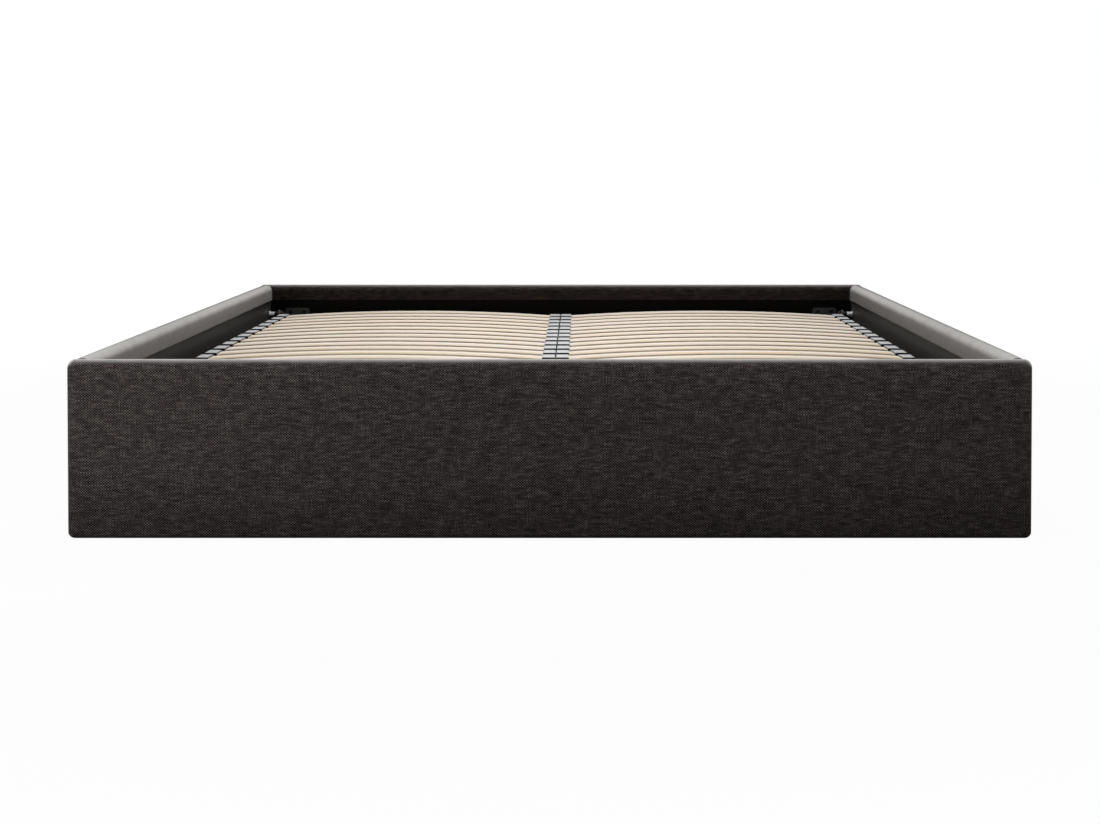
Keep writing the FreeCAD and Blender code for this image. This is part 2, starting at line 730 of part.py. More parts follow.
# Platform frame: welded square steel tube, black. Side tubes run the full length, the head and foot
# tubes and the cross tubes butt between them, and the wide centre tube carries both inner slat ends.
tube_rise = ("places.tube_foot", "places.tube_top")
outer_peg_x = "(places.outer_holder_x + places.platform_x) / 2"
inner_peg_x = "(places.inner_holder_x + sizes.holder_length / 2)"
for name, side in RIGHT_AND_LEFT:
    side_tube = keep(new_body(f"{name}_side_tube"))
    section = tube_section(*sided(side, "places.side_tube_x", "places.platform_x"), *tube_rise)
    pad(side_tube, outline(side_tube, "XZ_Plane", section), "2 * places.platform_y", both_ways=True)
    drill_pegs(side_tube, [f"{side} * {outer_peg_x}"])
for name, end in HEAD_AND_FOOT:
    end_tube = keep(new_body(f"{name}_tube"))
    section = tube_section(*sided(end, "places.end_tube_y", "places.platform_y"), *tube_rise)
    pad(end_tube, outline(end_tube, "YZ_Plane", section), "2 * places.side_tube_x", both_ways=True)
centre_tube = keep(new_body("centre_tube"))
section = tube_section("-places.centre_tube_x", "places.centre_tube_x", *tube_rise)
pad(centre_tube, outline(centre_tube, "XZ_Plane", section), "2 * places.end_tube_y", both_ways=True)
drill_pegs(centre_tube, [inner_peg_x, f"-{inner_peg_x}"])
for name, side in RIGHT_AND_LEFT:
    cross_tubes = keep(new_body(f"{name}_cross_tubes"))
    near = "(-places.cross_tube_y - sizes.cross_tube_width / 2)"
    far = "(-places.cross_tube_y + sizes.cross_tube_width / 2)"
    section = tube_section(near, far, "places.tube_foot", "(places.tube_foot + sizes.cross_tube_height)")
    start = sided(side, "places.centre_tube_x", "places.side_tube_x")[0]
    sketch = outline(cross_tubes, "YZ_Plane", section, start)
    pad(cross_tubes, sketch, "places.side_tube_x - places.centre_tube_x")
    row(cross_tubes, "Y_Axis", "2 * places.cross_tube_y", "2")


def end_cap(label, side, end):
    """A plastic plug that closes one open end of a side tube."""
    wall = "(sizes.tube_wall + sizes.peg_clearance)"
    low, high = sided(side, "places.side_tube_x", "places.platform_x")
    flange = rounded(low, high, *tube_rise, "sizes.tube_round")
    plug = rectangle(
        f"{low} + {wall}", f"{high} - {wall}", f"places.tube_foot + {wall}", f"places.tube_top - {wall}"
    )
    cap = new_body(label)
    mouth = f"-({end} * places.platform_y)"
    pad(cap, outline(cap, "XZ_Plane", [flange], mouth), "sizes.end_cap_thickness", backwards=end > 0)
    pad(cap, outline(cap, "XZ_Plane", [plug], mouth), "sizes.end_cap_plug", backwards=end < 0)
    return cap


group("tube_end_caps", [end_cap(f"{name}_cap", side, end) for name, side, end in corners])


def slat_bank(name, side):
    """One bank of sprung slats: bent strips of laminated birch, evenly spaced from foot to head."""
    start = f"{side} * places.slat_start_x"
    stop = f"{side} * places.slat_end_x"
    strip = [
        (start, "places.slat_end_foot", "places.slat_radius", -side),
        (stop, "places.slat_end_foot"),
        (stop, "places.slat_end_top", "places.slat_radius", side),
        (start, "places.slat_end_top"),
    ]
    slats = keep(new_body(f"{name}_slats"))
    sketch = outline(slats, "XZ_Plane", [strip], "places.first_slat_y")
    pad(slats, sketch, "sizes.slat_width", both_ways=True)
    row(slats, "Y_Axis", "places.slat_pitch", "sizes.slat_count")


def holder_row(label, low, high, mouth, peg_x):
    """A row of moulded slat holders: each grips one slat end and is pegged into the tube below."""
    holders = keep(new_body(label))
    near = "-places.first_slat_y - places.holder_width / 2"
    far = "-places.first_slat_y + places.holder_width / 2"
    base = outline(holders, "XY_Plane", [rectangle(low, high, near, far)], "places.tube_top")
    block_pad = pad(holders, base, "sizes.holder_height")
    top = value("places.holder_top")
    soften(holders, block_pad, "sizes.holder_round", lambda box: lies_at(box.ZMin, box.ZMax, top))
    half_mouth = "(sizes.slat_width / 2 + sizes.slat_clearance)"
    throat = rectangle(
        f"-places.first_slat_y - {half_mouth}", f"-places.first_slat_y + {half_mouth}", "places.slat_seat",
        "places.slat_roof"
    )
    opens_right = mouth == high
    throat_sketch = outline(holders, "YZ_Plane", [throat], mouth)
    pocket(holders, throat_sketch, "places.slat_grip", backwards=not opens_right)
    peg = (peg_x, "-places.first_slat_y", "sizes.peg_diameter")
    peg_sketch = outline(holders, "XY_Plane", [], "places.tube_top", [peg])
    pad(holders, peg_sketch, "sizes.peg_length", backwards=True)
    row(holders, "Y_Axis", "places.slat_pitch", "sizes.slat_count")


# Slats and the plastic holders at both ends of each.
for name, side in RIGHT_AND_LEFT:
    slat_bank(name, side)
    outer = sided(side, "places.outer_holder_x", "places.platform_x")
    inner = sided(side, "places.inner_holder_x", "(places.inner_holder_x + sizes.holder_length)")
    holder_row(f"{name}_outer_holders", *outer, outer[0] if side > 0 else outer[1], f"{side} * {outer_peg_x}")
    holder_row(f"{name}_inner_holders", *inner, inner[1] if side > 0 else inner[0], f"{side} * {inner_peg_x}")

# Rest ledge on the foot board and its rubber pads: the closed platform's foot tube lies on these.
keep(block(
    "platform_rest",
    ("-places.side_tube_x", "places.side_tube_x"),
    ("-places.board_face_y", "-places.end_tube_y"),
    ("places.rest_top - sizes.rest_height", "places.rest_top"),
))
rest_pad_shares = (-0.75, 0, 0.75)
rest_pad_y = "-(places.platform_y + places.end_tube_y) / 2"
group("rest_pads", [
    place(
        drum(f"rest_pad_{number}", "sizes.rest_pad_diameter / 2", "sizes.rest_pad_height"),
        f"{share} * places.side_tube_x", rest_pad_y, "places.rest_top"
    )
    for number, share in enumerate(rest_pad_shares, 1)
])


def lift_arm(name, side):
    """A steel arm welded outside a side tube that carries the platform on its pivot pin."""
    lobe = "sizes.arm_lobe"
    back = f"(places.pivot_y + {lobe})"
    low = "(places.tube_foot + sizes.arm_inset)"
    shape = [
        (f"{back} - sizes.arm_length", low),
        (back, low),
        (back, "places.pivot_z", lobe, 1),
        ("places.pivot_y", f"places.pivot_z + {lobe}", lobe, 1),
        (f"places.pivot_y - {lobe}", "places.pivot_z"),
        (f"{back} - sizes.arm_length", f"{low} + sizes.arm_shoulder"),
    ]
    hole = ("places.pivot_y", "places.pivot_z", "sizes.pin_diameter + 2 * sizes.running_clearance")
    arm = keep(new_body(f"{name}_lift_arm"))
    start = sided(side, "places.platform_x", "(places.platform_x + sizes.arm_thickness)")[0]
    pad(arm, outline(arm, "YZ_Plane", [shape], start, [hole]), "sizes.arm_thickness")


def lift_plate(name, side):
    """The steel plate on a side board that holds the pivot pin at its top and the strut at its foot."""
    hole = "sizes.pin_diameter + 2 * sizes.running_clearance"
    screw_hole = "sizes.screw_diameter + 2 * sizes.peg_clearance"
    circles = [("0", "0", hole), ("0", "places.reach", hole)]
    circles += [("0", f"{share} * places.reach", screw_hole) for share in plate_screw_shares]
    plate = keep(new_body(f"{name}_lift_plate"))
    sketch = outline(plate, "YZ_Plane", [stadium("sizes.lift_plate_lobe", "0", "places.reach")], "0", circles)
    pad(plate, sketch, "sizes.lift_plate_thickness")
    start = sided(side, "places.lift_plate_face", "places.board_face_x")[0]
    lean(plate, "-atan(sizes.strut_base_ahead / (places.pivot_z - places.base_z))")
    place(plate, start, "places.base_y", "places.base_z")


def lean(piece, angle):
    """Tips a piece that was drawn upright towards the foot by an angle about the X axis."""
    piece.Placement = FreeCAD.Placement(FreeCAD.Vector(), FreeCAD.Rotation(X_AXIS, QUARTER_TURN))
    piece.setExpression("Placement.Rotation.Angle", angle)
    return piece


def plate_screws(name, side):
    """The screws of one lift plate, in line between its two lobes."""
    seat = f"{side} * places.lift_plate_face"
    screws = []
    for number, share in enumerate(plate_screw_shares, 1):
        depth = "sizes.screw_bite + sizes.lift_plate_thickness"
        screw = fastener(
            f"{name}_plate_screw_{number}", "sizes.screw_diameter", depth, *SCREW_HEAD, Y_AXIS,
            -QUARTER_TURN * side
        )
        y = f"places.base_y + {share} * sizes.strut_base_ahead"
        z = f"places.base_z + {share} * (places.pivot_z - places.base_z)"
        screws.append(place(screw, seat, y, z))
    return screws


def spindle(label, side, steps):
    """A turned pin across the bed: steps are (end, radius) pairs that follow its first face."""
    profile = []
    for start, stop, radius in zip(steps, steps[1:], [step[1] for step in steps[1:]]):
        profile += [(f"{side} * ({start[0]})", radius), (f"{side} * ({stop[0]})", radius)]
    profile = [(f"{side} * ({steps[0][0]})", "0"), *profile, (f"{side} * ({steps[-1][0]})", "0")]
    pin = new_body(label)
    turned(pin, profile, "XY_Plane", "H_Axis")
    return pin


# Lift hinge: a plate on each side board holds the pivot pin and the strut's lower stud. The platform's
# arm turns on the pin and a lock nut keeps it there.
plate_screw_shares = (0.2, 0.5, 0.8)
pin_radius = "sizes.pin_diameter / 2"
shoulder_radius = "sizes.pin_shoulder_diameter / 2"
flange_face = "places.lift_plate_face - sizes.pin_flange_height"
arm_outside = "places.platform_x + sizes.arm_thickness + sizes.side_clearance"
nut_face = "places.platform_x - sizes.side_clearance"
pin_end = f"{nut_face} - sizes.pin_nut_height - sizes.pin_tail"
for name, side in RIGHT_AND_LEFT:
    lift_arm(name, side)
    lift_plate(name, side)
    pivot_pin = keep(spindle(f"{name}_pivot_pin", side, [
        ("places.board_face_x", "0"),
        ("places.lift_plate_face", pin_radius),
        (flange_face, "sizes.pin_flange_diameter / 2"),
        (arm_outside, shoulder_radius),
        (pin_end, pin_radius),
    ]))
    place(pivot_pin, "0", "places.pivot_y", "places.pivot_z")
group("lift_plate_screws", [screw for name, side in RIGHT_AND_LEFT for screw in plate_screws(name, side)])


def lock_nut(name, side):
    """A hexagonal lock nut on the inner end of a pivot pin."""
    hexagon = doc.addObject("Part::Prism", f"{name}_nut_blank")
    hexagon.Polygon = 6
    hexagon.setExpression("Circumradius", "sizes.pin_nut_width / sqrt(3)")
    hexagon.setExpression("Height", "sizes.pin_nut_height")
    thread = drum(
        f"{name}_nut_thread", f"{pin_radius} + sizes.running_clearance",
        "sizes.pin_nut_height + 2 * sizes.cut_overrun", "-sizes.cut_overrun"
    )
    nut = doc.addObject("Part::Cut", f"{name}_lock_nut")
    nut.Base = hexagon
    nut.Tool = thread
    nut.Placement = FreeCAD.Placement(FreeCAD.Vector(), FreeCAD.Rotation(Y_AXIS, -QUARTER_TURN * side))
    return place(nut, f"{side} * ({nut_face})", "places.pivot_y", "places.pivot_z")


group("pivot_lock_nuts", [lock_nut(name, side) for name, side in RIGHT_AND_LEFT])

# Strut studs: riveted into the foot of each lift plate, and welded to each side tube.
eye_outside = "places.strut_x + sizes.eye_thickness / 2 + sizes.side_clearance"
eye_inside = "places.strut_x - sizes.eye_thickness / 2 - sizes.side_clearance"
group("strut_base_studs", [
    place(spindle(f"{name}_base_stud", side, [
        ("places.board_face_x", "0"),
        ("places.lift_plate_face", pin_radius),
        (eye_outside, shoulder_radius),
        (eye_inside, pin_radius),
        (f"{eye_inside} - sizes.stud_head_height", shoulder_radius),
    ]), "0", "places.base_y", "places.base_z")
    for name, side in RIGHT_AND_LEFT
])
group("strut_platform_studs", [
    place(spindle(f"{name}_platform_stud", side, [
        ("places.platform_x", "0"),
        (eye_inside, shoulder_radius),
        (eye_outside, pin_radius),
        (f"{eye_outside} + sizes.stud_head_height", shoulder_radius),
    ]), "0", "places.stud_y", "places.stud_z")
    for name, side in RIGHT_AND_LEFT
])


def stand_strut(piece, side):
    """Sets a strut piece, drawn upright from the lower eye, along the closed strut's line."""
    lean(piece, "atan((places.base_y - places.stud_y) / (places.stud_z - places.base_z))")
    return place(piece, f"{side} * places.strut_x", "places.base_y", "places.base_z")


def strut_cylinder(name, side):
    """The pressure tube of a gas strut with the flat eye welded to its closed end."""
    eye = "sizes.eye_diameter / 2"
    neck = "sizes.eye_neck_width / 2"
    neck_top = "places.cylinder_foot + sizes.strut_base_cap / 2"
    blade = [
        (eye, "0"),
        (neck, neck_top),
        (f"-{neck}", neck_top),
        (f"-{eye}", "0", eye, 1),
        ("0", f"-{eye}", eye, 1),
    ]
    outside = "sizes.strut_diameter / 2"
    lip = "sizes.strut_lip"
    wall = [
        ("0", "places.cylinder_foot"),
        (f"{outside} - {lip}", "places.cylinder_foot"),
        (outside, f"places.cylinder_foot + {lip}"),
        (outside, f"places.cylinder_top - {lip}"),
        (f"{outside} - {lip} / 2", "places.cylinder_top"),
        ("places.bore_radius", "places.cylinder_top"),
        ("places.bore_radius", "places.bore_foot"),
        ("0", "places.bore_foot"),
    ]
    cylinder = keep(new_body(f"{name}_strut_cylinder"))
    turned(cylinder, wall, "YZ_Plane", "V_Axis")
    hole = ("0", "0", "sizes.pin_diameter + 2 * sizes.running_clearance")
    pad(cylinder, outline(cylinder, "YZ_Plane", [blade], "0", [hole]), "sizes.eye_thickness", both_ways=True)
    stand_strut(cylinder, side)


def strut_seal(name, side):
    """The ring in the mouth of the pressure tube that guides the rod."""
    bore = "sizes.rod_diameter / 2 + sizes.running_clearance"
    rim = "places.bore_radius - sizes.running_clearance"
    seal = keep(new_body(f"{name}_strut_seal"))
    section = rectangle(bore, rim, "places.cylinder_top - sizes.seal_height", "places.cylinder_top")
    turned(seal, section, "YZ_Plane", "V_Axis")
    stand_strut(seal, side)


def strut_rod(name, side):
    """The polished rod and the piston on its inner end."""
    piston = "places.bore_radius - sizes.running_clearance"
    piston_top = "places.piston_foot + sizes.piston_height"
    radius = "sizes.rod_diameter / 2"
    rod_top = "places.rod_eye_foot + sizes.eye_socket"
    rod = keep(new_body(f"{name}_strut_rod"))
    section = [
        ("0", "places.piston_foot"),
        (piston, "places.piston_foot"),
        (piston, piston_top),
        (radius, piston_top),
        (radius, rod_top),
        ("0", rod_top),
    ]
    turned(rod, section, "YZ_Plane", "V_Axis")
    stand_strut(rod, side)


def strut_rod_eye(name, side):
    """The slotted eye screwed on the rod, which rides on the platform's stud."""
    eye = "sizes.eye_diameter / 2"
    neck = "sizes.eye_neck_width / 2"
    crown = "(places.strut_length + places.slot_travel)"
    socket_top = "places.rod_eye_foot + sizes.eye_socket"
    blade = [
        (neck, socket_top),
        (eye, "places.strut_length"),
        (eye, crown, eye, 1),
        ("0", f"{crown} + {eye}", eye, 1),
        (f"-{eye}", crown),
        (f"-{eye}", "places.strut_length"),
        (f"-{neck}", socket_top),
    ]
    slot = stadium(f"({pin_radius} + sizes.side_clearance)", "places.strut_length", crown)
    bore = "sizes.rod_diameter / 2 + sizes.running_clearance"
    collar = [
        ("0", socket_top),
        (bore, socket_top),
        (bore, "places.rod_eye_foot"),
        (neck, "places.rod_eye_foot"),
        (neck, f"{socket_top} + sizes.strut_lip"),
        ("0", f"{socket_top} + sizes.strut_lip"),
    ]
    fitting = keep(new_body(f"{name}_strut_rod_eye"))
    turned(fitting, collar, "YZ_Plane", "V_Axis")
    pad(fitting, outline(fitting, "YZ_Plane", [blade, slot]), "sizes.eye_thickness", both_ways=True)
    stand_strut(fitting, side)


# Gas struts: each stands between the lift plate's stud and the stud on the platform's side tube.
for name, side in RIGHT_AND_LEFT:
    strut_cylinder(name, side)
    strut_seal(name, side)
    strut_rod(name, side)
    strut_rod_eye(name, side)

doc.recompute()
for item in doc.Objects:
    if "Invalid" in item.State or "Error" in item.State:
        raise RuntimeError(f"{item.Label} failed: {item.State}")
for node in nodes:
    if node.Shape.isNull() or not node.Shape.isValid() or not node.Shape.Solids:
        raise RuntimeError(f"{node.Label} has no sound shape")

os.makedirs("parts", exist_ok=True)
for node in nodes:
    node.Shape.exportStep(f"parts/{node.Label}.step")
    print(node.Label, len(node.Shape.Solids), round(node.Shape.Volume))
for name in ("reach", "strut_length", "open_length", "strut_stroke", "slot_travel", "slat_pitch"):
    print(name, round(getattr(places, name), 4))
for name in ("strut_x", "pivot_y", "pivot_z", "base_y", "base_z", "stud_y", "stud_z"):
    print(name, round(getattr(places, name), 4))
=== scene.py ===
import math

import bmesh
import bpy
import numpy as np
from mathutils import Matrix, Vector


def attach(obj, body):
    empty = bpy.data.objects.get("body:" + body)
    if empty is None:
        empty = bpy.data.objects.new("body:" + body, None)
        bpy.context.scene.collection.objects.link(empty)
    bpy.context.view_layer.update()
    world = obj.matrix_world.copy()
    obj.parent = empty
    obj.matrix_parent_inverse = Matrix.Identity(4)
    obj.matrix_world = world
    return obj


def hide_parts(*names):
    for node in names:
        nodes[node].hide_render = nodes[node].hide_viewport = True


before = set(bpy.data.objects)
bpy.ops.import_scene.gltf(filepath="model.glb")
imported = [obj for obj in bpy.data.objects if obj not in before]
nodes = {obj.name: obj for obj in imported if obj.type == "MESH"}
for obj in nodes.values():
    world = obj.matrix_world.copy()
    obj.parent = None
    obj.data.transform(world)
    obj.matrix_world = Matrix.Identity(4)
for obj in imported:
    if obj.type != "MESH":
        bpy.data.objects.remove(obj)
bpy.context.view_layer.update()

# Panel boards: chipboard on edge, faced with a dark grey laminate that has a faint wood grain. They carry the
# covers and are bolted together at the corners; only their inner faces show, below the hem.
# The last of these colours is a painted sheen, which the boards take where they are seen edge on.
BOARD_GREY, BOARD_STREAK, BOARD_SHEEN_PAINT = (21, 20, 19), (12, 12, 11), (50, 49, 47)


def tint(red, green, blue):
    """A display colour of 0 to 255 as the linear colour that a shader takes."""
    share = np.array([red, green, blue]) / 255
    linear = np.where(share <= 0.04045, share / 12.92, ((share + 0.055) / 1.055) ** 2.4)
    return (*linear.tolist(), 1.0)


def shade(tree, kind, sockets, **settings):
    """Adds a shader node. Each socket, by name or number, gets a plain value or the output wired to it."""
    made = tree.nodes.new("ShaderNode" + kind)
    for key, value in settings.items():
        setattr(made, key, value)
    for key, value in sockets.items():
        if isinstance(value, bpy.types.NodeSocket):
            tree.links.new(value, made.inputs[key])
        else:
            made.inputs[key].default_value = value
    return made


def sums(tree, operation, first, second=0.0):
    """One arithmetic step between two outputs or numbers."""
    return shade(tree, "Math", {0: first, 1: second}, operation=operation).outputs[0]


def between(tree, value, low, high, start=0.0, full=1.0):
    """A number that goes evenly from low to high as value goes from start to full."""
    sockets = {"Value": value, "From Min": start, "From Max": full, "To Min": low, "To Max": high}
    return shade(tree, "MapRange", sockets).outputs[0]


def blend(tree, share, first, second):
    """The colour that goes from first to second as share goes from 0 to 1."""
    return shade(tree, "Mix", {0: share, 6: first, 7: second}, data_type="RGBA").outputs[2]


def colours(tree, share, *stops):
    """The colour at a share from 0 to 1 along stops of (place, display colour)."""
    made = shade(tree, "ValToRGB", {0: share})
    steps = made.color_ramp.elements
    while len(steps) < len(stops):
        steps.new(0.5)
    for step, (place, colour) in zip(steps, stops):
        step.position = place
        step.color = tint(*colour)
    return made.outputs[0]


def finish(name, roughness, **values):
    """A new material, with its node tree and its main shader, whose plain values are set on the shader."""
    made = bpy.data.materials.new(name)
    made.use_nodes = True
    shader = made.node_tree.nodes["Principled BSDF"]
    shader.inputs["Roughness"].default_value = roughness
    for key, value in values.items():
        shader.inputs[key.replace("_", " ")].default_value = value
    return made, made.node_tree, shader


def stretched(tree, place, stretch):
    """Coordinates, stretched along each axis."""
    return shade(tree, "Mapping", {"Vector": place, "Scale": stretch}).outputs[0]


def object_place(tree, stretch=(1, 1, 1)):
    """Object coordinates, stretched along each axis."""
    return stretched(tree, shade(tree, "TexCoord", {}).outputs["Object"], stretch)


def noise(tree, place, scale, detail=2.0, rough=0.5):
    """Smooth random shares at a place, with scale patches to the metre."""
    sockets = {"Vector": place, "Scale": scale, "Detail": detail, "Roughness": rough}
    return shade(tree, "TexNoise", sockets).outputs[0]


def raise_by(tree, shader, height, distance, strength=1.0):
    """Bumps the surface by a height of 0 to 1 times a distance in metres."""
    sockets = {"Height": height, "Distance": distance, "Strength": strength}
    tree.links.new(shade(tree, "Bump", sockets).outputs[0], shader.inputs["Normal"])


def smooth(tree, value, start, full, low=0.0, high=1.0):
    """A number that eases from low to high as value goes from start to full."""
    sockets = {"Value": value, "From Min": start, "From Max": full, "To Min": low, "To Max": high}
    return shade(tree, "MapRange", sockets, interpolation_type="SMOOTHSTEP").outputs[0]


def painted_sheen(tree, colour, start, full, pale, dust_and_sheen=1.0):
    """A colour with a painted sheen: it turns pale where the surface is seen edge on."""
    facing = shade(tree, "LayerWeight", {}).outputs["Facing"]
    share = sums(tree, "MULTIPLY", smooth(tree, facing, start, full), dust_and_sheen)
    return blend(tree, share, colour, tint(*pale))


def dress(material, slot, *names):
    """Gives CAD pieces their finish."""
    for name in names:
        for place in nodes[name].material_slots:
            place.material = material


def dark_laminate(name, stretch):
    """Dark grey laminate: long streaks along the board, a fine printed grain and a painted sheen edge on."""
    material, tree, shader = finish(name, 0.45, Specular_IOR_Level=0.03)
    place = object_place(tree, stretch)
    streaks = noise(tree, place, 1.0, 5.0, 0.6)
    colour = colours(tree, streaks, (0.3, BOARD_STREAK), (0.7, BOARD_GREY))
    tree.links.new(painted_sheen(tree, colour, 0.5, 0.9, BOARD_SHEEN_PAINT), shader.inputs["Base Color"])
    tree.links.new(between(tree, streaks, 0.38, 0.52), shader.inputs["Roughness"])
    raise_by(tree, shader, noise(tree, place, 3.0), 0.0002, 0.4)
    return material


dress(dark_laminate("laminate_across", (3, 160, 160)), "grey_board", "head_board", "foot_board")
dress(dark_laminate("laminate_along", (160, 3, 160)), "grey_board", "left_board", "right_board")

# Padded covers: charcoal woven fabric over foam, drawn tight round each board, over its top and a short way
# down inside, where it ends in a folded hem. The end covers also wrap round both board ends. The foam pushes
# the flat outsides out by a little over two millimetres.
PANEL_FOOT, PANEL_TOP, HEM_EDGE, HEM_ROUND = 0.005, 0.3165, 0.275, 0.0012
OUTER_X, OUTER_Y, PANEL_THICKNESS = 0.840, 1.040, 0.0375
INNER_Y, BOARD_FACE_X = 1.0025, 0.806
FOOT_ROUND, TOP_ROUND, END_ROUND, BUTT_ROUND = 0.009, 0.0175, 0.013, 0.004
FOAM_PUSH, FOAM_REACH, FOAM_MOMENTS, FABRIC_THICKNESS = 4.0, 0.0024, 20, 0.0021
WINDOW_DEPTH = FOOT_ROUND * 0.9
COVER_STEPS, LEAST_STEP, TOUCHING = 161, 0.002, 1e-5
HEADBOARD_BOLT_X, HEADBOARD_BOLT_Z, BOLT_CUT = 0.733, 0.213, 0.0055
WARP_PITCH, WEFT_PITCH, YARN_STRAY, STRAYS, CLOUDS = 0.0025, 0.0022, 0.00036, 110.0, 34.0
YARN_STREAKS, YARNS_APART, SHADE_TOP, FOOT_SHADE = 44, 7.31, 0.15, 0.24
WEFT_YARN = (0.30, (58, 52, 51)), (0.50, (88, 81, 79)), (0.70, (124, 117, 113))
WARP_YARN = (0.34, (6, 5, 5)), (0.52, (13, 11, 11)), (0.70, (70, 64, 62))
# The first colour darkens the cloth in random clouds, and as painted shade where threads dip and near the
# floor. The second is a painted sheen.
YARN_SHADE_PAINT, CLOTH_SHEEN_PAINT = (12, 10, 10), (187, 185, 183)


def surface(name, points, uv=None, shown=None):
    """A mesh over grids of points, whose last two counts are rows and columns: quads join neighbours, and
    points that meet are welded. shown leaves out the quads where it is false."""
    rows, columns = points.shape[-3:-1]
    here = np.arange(rows * columns).reshape(rows, columns)
    quads = np.stack([here[:-1, :-1], here[:-1, 1:], here[1:, 1:], here[1:, :-1]], -1).reshape(-1, 4)
    if shown is not None:
        quads = quads[shown.ravel()]
    grids = points.size // (3 * rows * columns)
    quads = (quads[None] + np.arange(grids)[:, None, None] * rows * columns).reshape(-1, 4)
    mesh = bpy.data.meshes.new(name)
    mesh.from_pydata(points.reshape(-1, 3).tolist(), [], quads.tolist())
    if uv is not None:
        layer = mesh.uv_layers.new(name="cloth")
        layer.data.foreach_set("uv", uv.reshape(-1, 2)[quads.ravel()].astype(np.float32).ravel())
    work = bmesh.new()
    work.from_mesh(mesh)
    bmesh.ops.remove_doubles(work, verts=work.verts, dist=1e-6)
    bmesh.ops.dissolve_degenerate(work, edges=work.edges, dist=1e-7)
    bmesh.ops.recalc_face_normals(work, faces=work.faces)
    loose = [point for point in work.verts if not point.link_faces]
    bmesh.ops.delete(work, geom=loose, context="VERTS")
    work.to_mesh(mesh)
    work.free()
    mesh.shade_smooth()
    made = bpy.data.objects.new(name, mesh)
    bpy.context.scene.collection.objects.link(made)
    return made


def panel_section():
    """The closed section of a panel, from its inner foot round the outside: depth from the outside, height
    and outward direction. Flats join quarter circles."""
    far, foot, top = PANEL_THICKNESS, PANEL_FOOT, PANEL_TOP
    below = np.linspace(foot + FOOT_ROUND, HEADBOARD_BOLT_Z - BOLT_CUT, 22)
    above = np.linspace(HEADBOARD_BOLT_Z + BOLT_CUT, HEM_EDGE, 7)
    rise = np.concatenate([below, above, np.linspace(HEM_EDGE, top - TOP_ROUND, 5)[1:]])
    flats = (
        (np.linspace(far - FOOT_ROUND, FOOT_ROUND, 6), foot, (0, -1), FOOT_ROUND),
        (0, rise, (-1, 0), TOP_ROUND),
        (np.linspace(TOP_ROUND, far - TOP_ROUND, 3), top, (0, 1), TOP_ROUND),
        (far, rise[::-1], (1, 0), FOOT_ROUND),
    )
    depths, heights, outs = [], [], []
    turn = np.linspace(0, np.pi / 2, 12)[1:-1]
    for level, (depth, height, out, radius) in enumerate(flats):
        depth, height = np.broadcast_arrays(np.asarray(depth, float), np.asarray(height, float))
        bend = -np.pi / 2 - level * np.pi / 2 - turn
        arc = np.stack([np.cos(bend), np.sin(bend)], -1)
        depths += [depth, depth[-1] + radius * (arc[:, 0] - out[0])]
        heights += [height, height[-1] + radius * (arc[:, 1] - out[1])]
        outs += [np.tile(out, (depth.size, 1)), arc]
    loop = [np.concatenate(part) for part in (depths, heights, outs)]
    return [np.concatenate([part, part[:1]]) for part in loop]


def panel_cover(half_length, end_round, lines):
    """A padded bar: the panel's section carried along its length. Towards each end the section is set in by
    1 - cos as the length gains sin of a quarter turn, then shrinks flat to a line. Gives length, depth from
    the outside, height and cloth places."""
    depth, height, out = panel_section()
    half_depth = PANEL_THICKNESS / 2
    turn = np.linspace(0, np.pi / 2, 9)
    flat = np.linspace(end_round, half_depth, 5)[1:]
    cap_at = np.append(half_length - end_round + end_round * np.sin(turn), np.full(flat.size, half_length))
    cap_in = np.append(end_round * (1 - np.cos(turn)), flat)
    cap_on = np.append(half_length - end_round + end_round * turn, half_length + flat)
    even = np.linspace(-1, 1, COVER_STEPS) * (half_length - end_round)
    middle = np.unique(np.round(np.append(even, lines), 6))
    middle = middle[np.append(True, np.diff(middle) > LEAST_STEP)][1:-1]
    length = np.concatenate([-cap_at[::-1], middle, cap_at])[:, None]
    inset = np.concatenate([cap_in[::-1], middle * 0, cap_in])[:, None]
    cloth = np.concatenate([-cap_on[::-1], middle, cap_on])[:, None]
    round_it = np.append(0, np.cumsum(np.hypot(np.diff(depth), np.diff(height))))
    across, up = depth - inset * out[:, 0], height - inset * out[:, 1]
    across = np.where(inset > 0, np.clip(across, inset, PANEL_THICKNESS - inset), across)
    up = np.where(inset > 0, np.clip(up, PANEL_FOOT + inset, PANEL_TOP - inset), up)
    uv = np.stack(np.broadcast_arrays(cloth + 2, round_it + 1), -1)
    return np.broadcast_to(length, across.shape), across, up, uv


